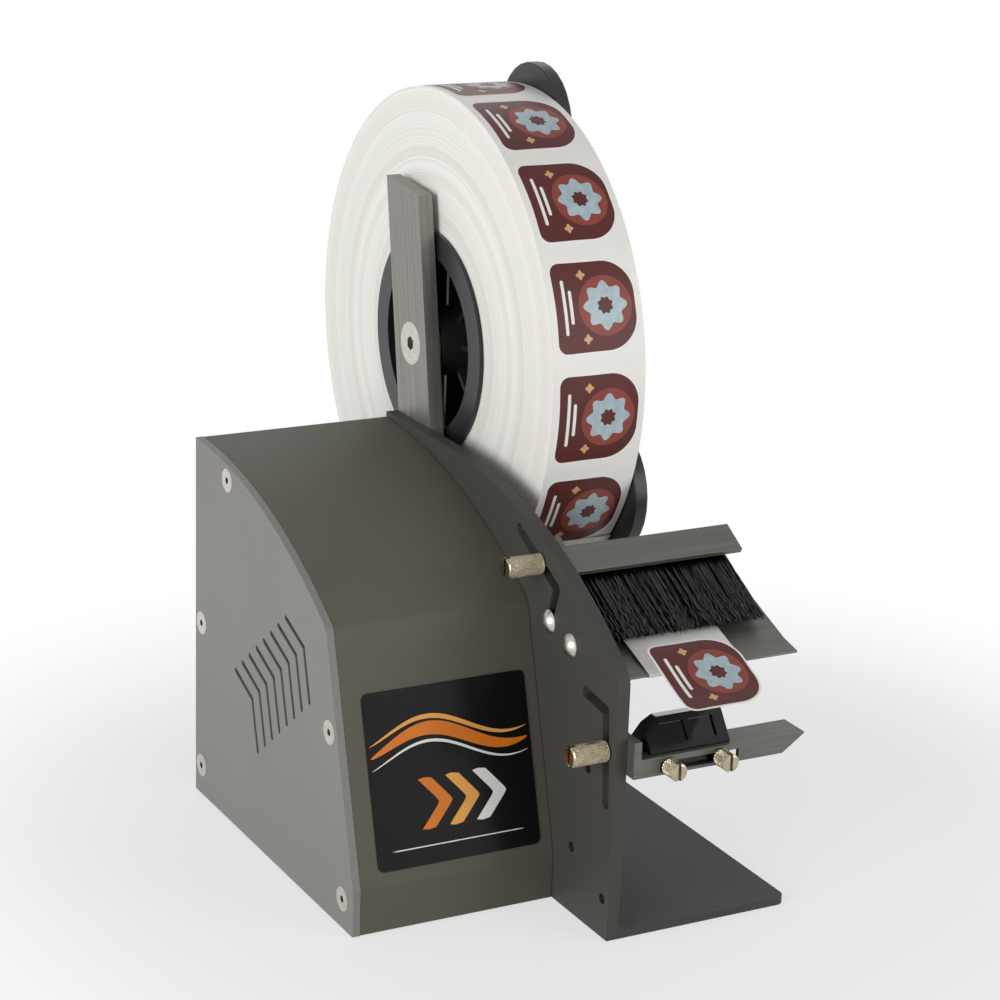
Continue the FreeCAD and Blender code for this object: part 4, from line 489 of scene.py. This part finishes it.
def knurled_screw(name, node, body, end, inward, side, head, radius, shank, shank_radius):
    """Knurled screw with a slotted end, on a grid of turns round by steps along.

    Radius = R - depth x (1 - w to the power 0.6), where w is the smaller of two sine waves that cross. The head
    starts at its end and runs inward; side is where the turn starts."""
    knurls = sizes().knurls
    per_knurl, slot_half, slot_depth, chamfer, depth, fade_out = 6, 0.6, 2.0, 0.5, 0.5, 0.5
    columns = knurls * per_knurl
    rim = radius - chamfer
    cut = math.acos(slot_half / rim)
    # half a turn of columns, doubled where the slot's walls stand, then mirrored
    spans = [np.linspace(0, cut, columns // 2), np.linspace(cut, np.pi - cut, 5),
             np.linspace(np.pi - cut, np.pi, columns // 2)]
    half = np.concatenate(spans)
    in_slot = np.concatenate([np.zeros(len(spans[0])), np.ones(len(spans[1])), np.zeros(len(spans[2]))])
    angle = np.concatenate([half, -half[-2:0:-1]])
    sunk = np.concatenate([in_slot, in_slot[-2:0:-1]])
    rows_along = int((head - 2 * chamfer) / (2 * np.pi * radius / knurls) * per_knurl)
    along = np.linspace(chamfer, head - chamfer, rows_along)
    twist = knurls / (2 * radius)
    a, t = np.meshgrid(angle, along)
    wave = np.minimum(np.abs(np.sin(knurls * a / 2 + twist * t)),
                      np.abs(np.sin(knurls * a / 2 - twist * t)))
    fade = np.clip(np.minimum(t - chamfer, head - chamfer - t) / fade_out, 0, 1)
    r = radius - depth * fade * (1 - wave ** 0.6)
    t = np.maximum(t, slot_depth * sunk[None, :])
    edge_rows = [(0.0, rim), (head, rim), (head, shank_radius), (head + shank, shank_radius),
                 (head + shank, 0.0)]
    rings = [(np.maximum(t_row, slot_depth * sunk), np.full(len(angle), r_row))
             for t_row, r_row in edge_rows]
    t = np.concatenate([rings[0][0][None], t, *[ring[0][None] for ring in rings[1:]]])
    r = np.concatenate([rings[0][1][None], r, *[ring[1][None] for ring in rings[1:]]])
    end, inward, side = np.array(end), np.array(inward, dtype=float), np.array(side, dtype=float)
    other = np.cross(inward, side)
    a = angle[None, :]
    barrel = (end + t[..., None] * inward + (r * np.cos(a))[..., None] * side
              + (r * np.sin(a))[..., None] * other)
    # the end face is made of chords that join each rim point to its mirror image
    share = np.linspace(1, -1, 9)[None, :]
    chord_side, chord_other = rim * np.cos(half)[:, None], rim * np.sin(half)[:, None] * share
    face = (end + (slot_depth * in_slot)[:, None, None] * inward
            + (chord_side * np.ones_like(share))[..., None] * side + chord_other[..., None] * other)
    mesh = mesh_of(name, [(barrel, False, True, 0), (face, False, False, 0)])
    piece(name, mesh, [finish("nickel")], body, 50.0, (node,))


class DISPENSER_OT_knurled_screws(bpy.types.Operator):
    """Turn and knurl the four clamping screws"""
    bl_idname = "dispenser.knurled_screws"
    bl_label = "Knurled screws"

    def execute(self, context):
        rightward, backward = (1, 0, 0), (0, 1, 0)
        # head length and radius, then shank length and radius
        knurled_screw("brush_clamping_screw", "brush_thumb_screw", "brush_knob", (-15.0, 57.9, 124.97),
                      rightward, backward, 14.8, 4.0, 8.2, 2.0)
        knurled_screw("rail_clamping_screw", "bracket_thumb_screw", "rail_knob", (-15.0, 6.41, 71.3),
                      rightward, backward, 14.8, 4.0, 11.2, 2.0)
        for side, x in (("left", 19.5), ("right", 41.0)):
            knurled_screw("sensor_clamping_screw_" + side, "sensor_screw_" + side, "sensor_knob_" + side,
                          (x, -12.2, 66.6), backward, rightward, 7.0, 3.4, 7.0, 1.5)
        return {"FINISHED"}


def roll_surface(start):
    """Surface of the roll from a starting angle: across is x, along is arc length, lift adds to the radius."""
    def surface(across, along, lift):
        angle = start + along / ROLL_RADIUS
        r = ROLL_RADIUS + lift
        return np.stack([LABEL_LEFT + across, REEL_BACK + r * np.cos(angle), REEL_UP + r * np.sin(angle)],
                        axis=-1)
    return surface


class DISPENSER_OT_label_roll(bpy.types.Operator):
    """Wind the roll and its printed labels"""
    bl_idname = "dispenser.label_roll"
    bl_label = "Label roll"

    def execute(self, context):
        # side faces: x is the roll's side, moved inwards by a slow random walk from turn to turn and a faint
        # swell of three waves round
        rng = np.random.default_rng(11)
        rings, spokes, smoothed, walk_depth, swell_depth = 60, 256, 11, 0.22, 0.08
        r = np.linspace(CORE_RADIUS, ROLL_RADIUS, rings)
        a = np.linspace(0, 2 * np.pi, spokes, endpoint=False)
        walk = np.convolve(rng.normal(0, 1, rings + smoothed - 1), np.ones(smoothed) / smoothed,
                           mode="valid")
        walk = (walk - walk.min()) / np.ptp(walk) * walk_depth
        out = r[:, None] / ROLL_RADIUS
        swell = swell_depth * (1 + np.sin(3 * a[None, :] + 9 * r[:, None] / ROLL_RADIUS)) * out ** 3
        inward = walk[:, None] + swell
        inward[[0, -1]] = 0.0
        left, right = ROLL_LEFT + inward, ROLL_RIGHT - inward[::-1]
        x = np.concatenate([left, right])
        radius = np.concatenate([r, r[::-1]])[:, None]
        points = np.stack([x, REEL_BACK + radius * np.cos(a), REEL_UP + radius * np.sin(a)], axis=-1)
        mesh = mesh_of("label_roll_wound", [(points, True, True, 0)])
        outer = np.empty(len(mesh.polygons) * 3)
        mesh.polygons.foreach_get("center", outer)
        outer = outer.reshape(-1, 3) / MM - ORIGIN
        rim = np.hypot(outer[:, 1] - REEL_BACK, outer[:, 2] - REEL_UP) > ROLL_RADIUS - 0.2
        mesh.polygons.foreach_set("material_index", rim.astype(np.int32))
        piece("label_roll_wound", mesh, [wound_edges(), finish("liner")], "reel", 40.0,
              ("label_roll",))

        length = sizes().label_length / MM
        # the angle at which the first label starts, seen from the right and counted from the back
        first, grids = math.radians(174.3), []
        for i in range(int(round(2 * math.pi / sizes().pitch))):
            grids += label_layers(roll_surface(first + i * sizes().pitch), length, 0.02, 0.1, INK_STEP)
        mesh = mesh_of("roll_labels_printed", grids)
        piece("roll_labels_printed", mesh, [finish(k) for k in LABEL_INKS], "reel", 40.0,
              ("roll_labels",))
        return {"FINISHED"}


# side line of the freed label, from the plate to its free end, as (y, z)
PEELED_LINE = np.array([(20.5, 106.2), (15.5, 106.3), (12.5, 106.5), (9.6, 106.3), (6.0, 104.9), (0.4, 102.2),
                        (-4.5, 99.8), (-9.5, 97.6), (-16.0, 95.3), (-21.8, 93.7)])


def peeled_surface():
    """Surface of the freed label: its side line smoothed by a moving average, measured from its free end."""
    gaps = np.linalg.norm(np.diff(PEELED_LINE, axis=0), axis=1)
    reach = np.concatenate([[0], np.cumsum(gaps)])
    s = np.linspace(0, reach[-1], 400)
    line = np.stack([np.interp(s, reach, PEELED_LINE[:, k]) for k in (0, 1)], axis=1)
    half = 40
    padded = np.concatenate([line[:1] + (line[:1] - line[1:2]) * np.arange(half, 0, -1)[:, None], line,
                             line[-1:] + (line[-1:] - line[-2:-1]) * np.arange(1, half + 1)[:, None]])
    window = np.ones(2 * half + 1) / (2 * half + 1)
    line = np.stack([np.convolve(padded[:, k], window, mode="valid") for k in (0, 1)], axis=1)
    slope = np.gradient(line, s, axis=0)
    normal = np.stack([slope[:, 1], -slope[:, 0]], axis=1) / np.linalg.norm(slope, axis=1, keepdims=True)

    def surface(across, along, lift):
        at = reach[-1] - along
        flat = [np.interp(at, s, line[:, k]) + lift * np.interp(at, s, normal[:, k]) for k in (0, 1)]
        return np.stack([LABEL_LEFT + across, flat[0], flat[1]], axis=-1)
    return surface


class DISPENSER_OT_freed_label(bpy.types.Operator):
    """Print the freed label that stands out over the peel plate's nose"""
    bl_idname = "dispenser.freed_label"
    bl_label = "Freed label"

    def execute(self, context):
        length = sizes().label_length / MM
        grids = label_layers(peeled_surface(), length, -0.08, 0.06, INK_STEP)
        mesh = mesh_of("peeled_label_printed", grids)
        piece("peeled_label_printed", mesh, [finish(k) for k in LABEL_INKS], "stand", 40.0,
              ("peeled_label",))
        return {"FINISHED"}


# Front corner of the brush bracket's band as (y, z), and the band's lean
BRUSH_FRONT, BRUSH_LEAN = np.array([42.1, 125.8]), math.radians(30.1)
# Both ends of the channel, and of the row in which the bristles stand
CHANNEL_ENDS, BRISTLE_ROW = (8.0, 71.5), (8.6, 70.9)
# Side outline of the channel, open to the front, in brush_place's directions
CHANNEL_OUTLINE = np.array([(1.0, 2.0), (10.9, 2.0), (10.9, 9.4), (1.0, 9.4), (1.0, 8.4), (6.0, 8.4), (6.0, 3.0),
                            (1.0, 3.0)])


def brush_place(forward, down):
    """Place in the bracket's own directions: back along its band and square below it."""
    c, s = math.cos(BRUSH_LEAN), math.sin(BRUSH_LEAN)
    return np.stack([BRUSH_FRONT[0] + forward * c + down * s, BRUSH_FRONT[1] + forward * s - down * c], axis=-1)


class DISPENSER_OT_brush(bpy.types.Operator):
    """Fill the channel with bristles"""
    bl_idname = "dispenser.brush"
    bl_label = "Strip brush"

    def execute(self, context):
        rng = np.random.default_rng(5)
        count, radius = sizes().bristles, sizes().bristle / MM / 2
        steps, sides = 22, 3
        across = rng.uniform(*BRISTLE_ROW, count)
        # 0 is the bristle nearest the top of the channel, 1 the one nearest its foot
        share = rng.uniform(0, 1, count)
        root = brush_place(np.full(count, 4.5), 3.4 + 4.6 * share)
        mouth = brush_place(np.full(count, 0.8), 3.2 + 5.0 * share)
        tip = np.array([15.9, 107.0])[None] + np.outer(share, [5.4, 0.2])
        tip = tip + rng.normal(0, 0.45, (count, 2)) * [1.0, 0.5] + [0.0, 0.45]
        t = np.linspace(0, 1, steps)[None, :]
        inside = 0.12
        late = np.clip((t - inside) / (1 - inside), 0, 1)
        early = np.clip(t / inside, 0, 1)
        # centre line: out of the channel, then to its tip with a sag, a lean and a crimp of its own; the crimp
        # is a sine wave both ways that grows towards the tip
        line = (root[:, None, :] * (1 - early[..., None]) + mouth[:, None, :] * early[..., None])
        line = line + (tip - mouth)[:, None, :] * late[..., None]
        sag = np.sin(np.pi * late) * rng.normal(0.3, 0.35, count)[:, None]
        crimp = np.sin(2 * np.pi * (6.0 * late + rng.uniform(0, 1, count)[:, None])) * 0.3 * late
        y, z = line[..., 0] + 0.5 * crimp, line[..., 1] - sag
        side_crimp = np.sin(2 * np.pi * (5.2 * late + rng.uniform(0, 1, count)[:, None])) * 0.4 * late
        x = across[:, None] + side_crimp + rng.normal(0, 0.8, count)[:, None] * late
        x = np.clip(x, CHANNEL_ENDS[0] + 0.3, CHANNEL_ENDS[1] - 0.3)
        centre = np.stack([x, y, z], axis=-1)
        way = np.array([0.0, tip[:, 0].mean() - mouth[:, 0].mean(), tip[:, 1].mean() - mouth[:, 1].mean()])
        way /= np.linalg.norm(way)
        one = np.array([1.0, 0.0, 0.0])
        two = np.cross(way, one)
        thick = radius * np.where((t == 0) | (t == 1), 0.0, 1.0)
        spin = (rng.uniform(0, 2 * np.pi, count)[:, None, None]
                + np.arange(sides)[None, None, :] * 2 * np.pi / sides)
        ring = (np.cos(spin)[..., None] * one + np.sin(spin)[..., None] * two) * thick[:, :, None, None]
        points = centre[:, :, None, :] + ring
        # every bristle has the same faces, so one block of indices serves for all of them
        a, b = np.meshgrid(np.arange(steps - 1), np.arange(sides), indexing="ij")
        a, b = a.ravel(), b.ravel()
        d = (b + 1) % sides
        one_bristle = np.stack([a * sides + b, (a + 1) * sides + b, (a + 1) * sides + d, a * sides + d], axis=1)
        faces = (np.arange(count)[:, None, None] * steps * sides + one_bristle[None]).reshape(-1, 4)
        verts = (points.reshape(-1, 3) + ORIGIN) * MM
        mesh = bpy.data.meshes.new("brush_bristles")
        mesh.from_pydata(verts.tolist(), [], faces.tolist())
        work = bmesh.new()
        work.from_mesh(mesh)
        bmesh.ops.remove_doubles(work, verts=work.verts, dist=1e-8)
        bmesh.ops.recalc_face_normals(work, faces=work.faces)
        work.to_mesh(mesh)
        work.free()
        piece("brush_bristles", mesh, [finish("bristle")], "brush", 60.0)

        # channel: its side outline carried from one end to the other
        side = brush_place(CHANNEL_OUTLINE[:, 0], CHANNEL_OUTLINE[:, 1])
        rows = [np.column_stack([np.full(len(side), x), side]) for x in CHANNEL_ENDS]
        mesh = mesh_of("brush_channel", [(np.stack(rows), False, True, 0)], closed=False)
        work = bmesh.new()
        work.from_mesh(mesh)
        bmesh.ops.holes_fill(work, edges=work.edges, sides=0)
        bmesh.ops.recalc_face_normals(work, faces=work.faces)
        work.to_mesh(mesh)
        work.free()
        channel = piece("brush_channel", mesh, [finish("plastic")], "brush", 30.0,
                        ("strip_brush",))
        bevel = channel.modifiers.new("rounded edges", "BEVEL")
        bevel.width = 0.2 * MM
        bevel.segments = 2
        return {"FINISHED"}


# Printed plate: its size, its left edge and its lower edge's way up the slope
BADGE_WIDTH, BADGE_HEIGHT, BADGE_LEFT, BADGE_UP = 66.0, 64.6, -71.0, 5.0


def badge_surface(across, along, lift):
    """Sloping front of the housing: along runs up the slope, lift stands square to it."""
    c, s = math.cos(SLANT_LEAN), math.sin(SLANT_LEAN)
    y = SLANT_FOOT[0] + (along + BADGE_UP) * c - lift * s
    z = SLANT_FOOT[1] + (along + BADGE_UP) * s + lift * c
    return np.stack([BADGE_LEFT + across, y, z], axis=-1)


class DISPENSER_OT_badge(bpy.types.Operator):
    """Print the plate on the sloping front with plain bands and chevrons"""
    bl_idname = "dispenser.badge"
    bl_label = "Printed plate"

    def execute(self, context):
        black, orange, white, amber = range(4)
        inks = ("film", "film_accent", "film_white", "film_amber")
        thickness, step = 0.32, 0.03
        top = thickness + step
        plate = rounded_outline(BADGE_WIDTH, BADGE_HEIGHT, (2.5,) * 4, 240)
        grids = [flat_patch(plate, badge_surface, 0.0, thickness, black, 3)]
        margin, wave_up, wave_height, wave_start = 1.2, 44.0, 5.0, 8.0
        x = np.linspace(margin, BADGE_WIDTH - margin, 80)
        # bands that follow a slow wave, each narrowing to nothing at its ends
        wave = wave_up + wave_height * np.sin((x - wave_start) / BADGE_WIDTH * 2 * np.pi)
        taper = np.sin(np.pi * (x - x[0]) / (x[-1] - x[0])) ** 0.6
        for offset, half, ink in ((0.0, 2.6, orange), (-4.6, 0.55, white), (4.3, 0.9, amber)):
            left = np.stack([x, wave + offset + half * taper], axis=1)
            right = np.stack([x, wave + offset - half * taper], axis=1)
            grids.append(flat_band(left, right, badge_surface, thickness, top, ink))
        # three chevrons that point the way of the web, each a band bent at its middle
        first_tip, tip_gap, tip_reach, middle_up, half_height, band = 24.0, 11.0, 8.5, 22.0, 9.5, 5.4
        v = np.linspace(-1, 1, 41)
        for i, ink in enumerate((orange, amber, white)):
            reach = tip_reach * (1 - np.sqrt(v ** 2 + 0.004))
            front = np.stack([first_tip + tip_gap * i + reach, middle_up + half_height * v], axis=1)
            grids.append(flat_band(front, front - [band, 0.0], badge_surface, thickness, top, ink))
        # thin rule under the chevrons
        rule_margin, rule_low, rule_high = 6.0, 6.5, 6.9
        rule = np.linspace(rule_margin, BADGE_WIDTH - rule_margin, 24)
        upper, lower = (np.stack([rule, np.full(len(rule), height)], axis=1) for height in (rule_high, rule_low))
        grids.append(flat_band(upper, lower, badge_surface, thickness, top, white))
        mesh = mesh_of("front_badge_printed", grids)
        piece("front_badge_printed", mesh, [finish(key) for key in inks], "stand", 30.0,
              ("front_badge",))
        return {"FINISHED"}


# Nodes whose shape is kept, by finish
KEPT = {
    "zinc": ("arm_screws", "housing_screws", "peel_plate_screws", "frame_fasteners", "bracket_nut",
             "spindle_screw", "brake_nut", "brake_spring_washers"),
    "steel": ("reel_spindle", "drive_shaft", "rewind_spindle", "guide_pin", "lever_pin", "pinch_pin",
              "pinch_spring", "frame_pillars", "housing_standoffs", "guide_roller", "gear_motor",
              "housing_floor"),
    "rail": ("pinch_lever", "inner_frame_plate"),
    "coat": ("rear_panel",),
    "plastic": ("drive_pulleys", "motor_pulley", "rewind_pulley", "power_inlet", "power_switch", "switch_frame"),
    "rubber": ("drive_roller", "pinch_roller", "drive_belt", "rewind_belt"),
    "bronze": ("hub_bushes", "shaft_bushes"),
    "board": ("circuit_board",),
    "felt": ("brake_washer",),
    "liner": ("label_web", "waste_roll"),
    "core": ("paper_core",),
    "window": ("sensor_windows",),
}


class DISPENSER_OT_works(bpy.types.Operator):
    """Give the pieces whose shape is kept their finishes"""
    bl_idname = "dispenser.works"
    bl_label = "Rollers, screws and works"

    def execute(self, context):
        for key, nodes in KEPT.items():
            for node in nodes:
                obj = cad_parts[node]
                obj.data.materials.clear()
                obj.data.materials.append(finish(key))
        return {"FINISHED"}


# Stage, in metres and watts: the floor's half side and its gap below the foot; the distances from the middle
# between which it turns from shaded paper to white, and the paper's own share of white; the light of the room
FLOOR_HALF, FLOOR_GAP = 6.0, 0.0004
SHADOW_REACH, FLOOR_WHITE_FROM, FLOOR_GLOW = 0.15, 0.34, 0.6
SKY_LIGHT = 0.45
LIT_POINT = (-0.01, 0.0, 0.14)
# name, place, width, height and power: a low key from the left, a weaker fill from the right, a rim from behind
SOFTBOXES = (("key_softbox", (-1.9, -0.7, 0.45), 1.2, 1.2, 27.0),
             ("fill_softbox", (1.3, -1.5, 0.55), 1.2, 1.2, 13.0),
             ("back_softbox", (0.4, 1.6, 1.4), 1.2, 0.8, 3.0))
# Camera of the photograph: azimuth, elevation and roll in degrees, place in metres, lens and sensor in mm
CAMERA_TURN = (-28.58, 17.26, 1.92)
CAMERA_PLACE = (-0.5122, -0.8729, 0.4473)
LENS, SENSOR = 100.6, 36.0


def softbox(name, place, target, width, height, power):
    """Area lamp that looks at a target."""
    lamp = bpy.data.lights.new(name, "AREA")
    lamp.shape = "RECTANGLE"
    lamp.size, lamp.size_y, lamp.energy = width, height, power
    obj = bpy.data.objects.new(name, lamp)
    obj.location = place
    obj.rotation_euler = (Vector(target) - Vector(place)).to_track_quat("-Z", "Y").to_euler()
    bpy.context.scene.collection.objects.link(obj)


def photograph_camera():
    """Camera where the photograph was taken from: azimuth, elevation and roll turned into its three axes."""
    azimuth, elevation, roll = (math.radians(degrees) for degrees in CAMERA_TURN)
    back = Vector((math.sin(azimuth) * math.cos(elevation), -math.cos(azimuth) * math.cos(elevation),
                   math.sin(elevation)))
    level = Vector((math.cos(azimuth), math.sin(azimuth), 0.0))
    upright = back.cross(level)
    right = math.cos(roll) * level + math.sin(roll) * upright
    up = -math.sin(roll) * level + math.cos(roll) * upright
    data = bpy.data.cameras.new("photograph_camera")
    data.sensor_width, data.lens = SENSOR, LENS
    data.clip_start, data.clip_end = 0.05, 20.0
    camera = bpy.data.objects.new("photograph_camera", data)
    turn = Matrix((right, up, back)).transposed().to_4x4()
    camera.matrix_world = Matrix.Translation(CAMERA_PLACE) @ turn
    bpy.context.scene.collection.objects.link(camera)
    bpy.context.scene.camera = camera


class DISPENSER_OT_stage(bpy.types.Operator):
    """Set up the pale floor, the white background, the soft lamps and the camera"""
    bl_idname = "dispenser.stage"
    bl_label = "Stage"

    def execute(self, context):
        scene = context.scene
        mesh = bpy.data.meshes.new("studio_floor")
        corners = [(FLOOR_HALF * sx, FLOOR_HALF * sy, -FLOOR_GAP)
                   for sx, sy in ((-1, -1), (1, -1), (1, 1), (-1, 1))]
        mesh.from_pydata(corners, [], [(0, 1, 2, 3)])
        floor = bpy.data.objects.new("studio_floor", mesh)
        scene.collection.objects.link(floor)
        material = bpy.data.materials.new("matt_white_paper_sweep")
        material.use_nodes = True
        tree = material.node_tree
        tree.nodes.clear()
        # near the object the paper takes its shadow, further out it fades into the white background
        coords = add_node(tree, "ShaderNodeTexCoord").outputs["Object"]
        away = add_node(tree, "ShaderNodeVectorMath", {0: coords}, operation="LENGTH").outputs["Value"]
        fade = add_node(tree, "ShaderNodeMapRange",
                        {"Value": away, "From Min": SHADOW_REACH, "From Max": FLOOR_WHITE_FROM,
                         "To Min": FLOOR_GLOW},
                        interpolation_type="SMOOTHSTEP").outputs["Result"]
        share = add_node(tree, "ShaderNodeMath", {0: fade, 1: seen_rays(tree)}, operation="MULTIPLY").outputs[0]
        sheet = add_node(tree, "ShaderNodeBsdfDiffuse", {"Color": (0.93, 0.93, 0.93, 1.0)}).outputs[0]
        white = add_node(tree, "ShaderNodeEmission", {"Strength": 1.0}).outputs[0]
        mixed = add_node(tree, "ShaderNodeMixShader", {0: share, 1: sheet, 2: white}).outputs[0]
        add_node(tree, "ShaderNodeOutputMaterial", {"Surface": mixed})
        mesh.materials.append(material)

        world = bpy.data.worlds.new("white_studio")
        scene.world = world
        world.use_nodes = True
        tree = world.node_tree
        tree.nodes.clear()
        strength = add_node(tree, "ShaderNodeMapRange",
                            {"Value": seen_rays(tree), "To Min": SKY_LIGHT, "To Max": 1.0})
        glow = add_node(tree, "ShaderNodeBackground", {"Strength": strength.outputs["Result"]})
        add_node(tree, "ShaderNodeOutputWorld", {"Surface": glow.outputs[0]})

        for name, place, width, height, power in SOFTBOXES:
            softbox(name, place, LIT_POINT, width, height, power)
        photograph_camera()
        scene.view_settings.view_transform = "Standard"
        return {"FINISHED"}


OPERATORS = (DISPENSER_OT_sheet_metal, DISPENSER_OT_mouldings, DISPENSER_OT_knurled_screws,
             DISPENSER_OT_label_roll, DISPENSER_OT_freed_label, DISPENSER_OT_brush, DISPENSER_OT_badge,
             DISPENSER_OT_works, DISPENSER_OT_stage)


class DISPENSER_PT_panel(bpy.types.Panel):
    """Sizes, colours and the pieces to make"""
    bl_idname = "DISPENSER_PT_panel"
    bl_label = "Label dispenser"
    bl_space_type = "VIEW_3D"
    bl_region_type = "UI"
    bl_category = "Dispenser"

    def draw(self, context):
        for group in (context.scene.dispenser_sizes, context.scene.dispenser_colours):
            for key in group.__annotations__:
                self.layout.prop(group, key)
        for operator in OPERATORS:
            self.layout.operator(operator.bl_idname)


CLASSES = (DispenserColours, DispenserSizes, *OPERATORS, DISPENSER_PT_panel)


def register():
    for cls in CLASSES:
        bpy.utils.register_class(cls)
    bpy.types.Scene.dispenser_sizes = bpy.props.PointerProperty(type=DispenserSizes)
    bpy.types.Scene.dispenser_colours = bpy.props.PointerProperty(type=DispenserColours)


def unregister():
    del bpy.types.Scene.dispenser_colours
    del bpy.types.Scene.dispenser_sizes
    for cls in reversed(CLASSES):
        bpy.utils.unregister_class(cls)


def main():
    """Make every piece in order."""
    register()
    for operator in OPERATORS:
        group, name = operator.bl_idname.split(".")
        getattr(getattr(bpy.ops, group), name)()


if __name__ == "__main__":
    main()
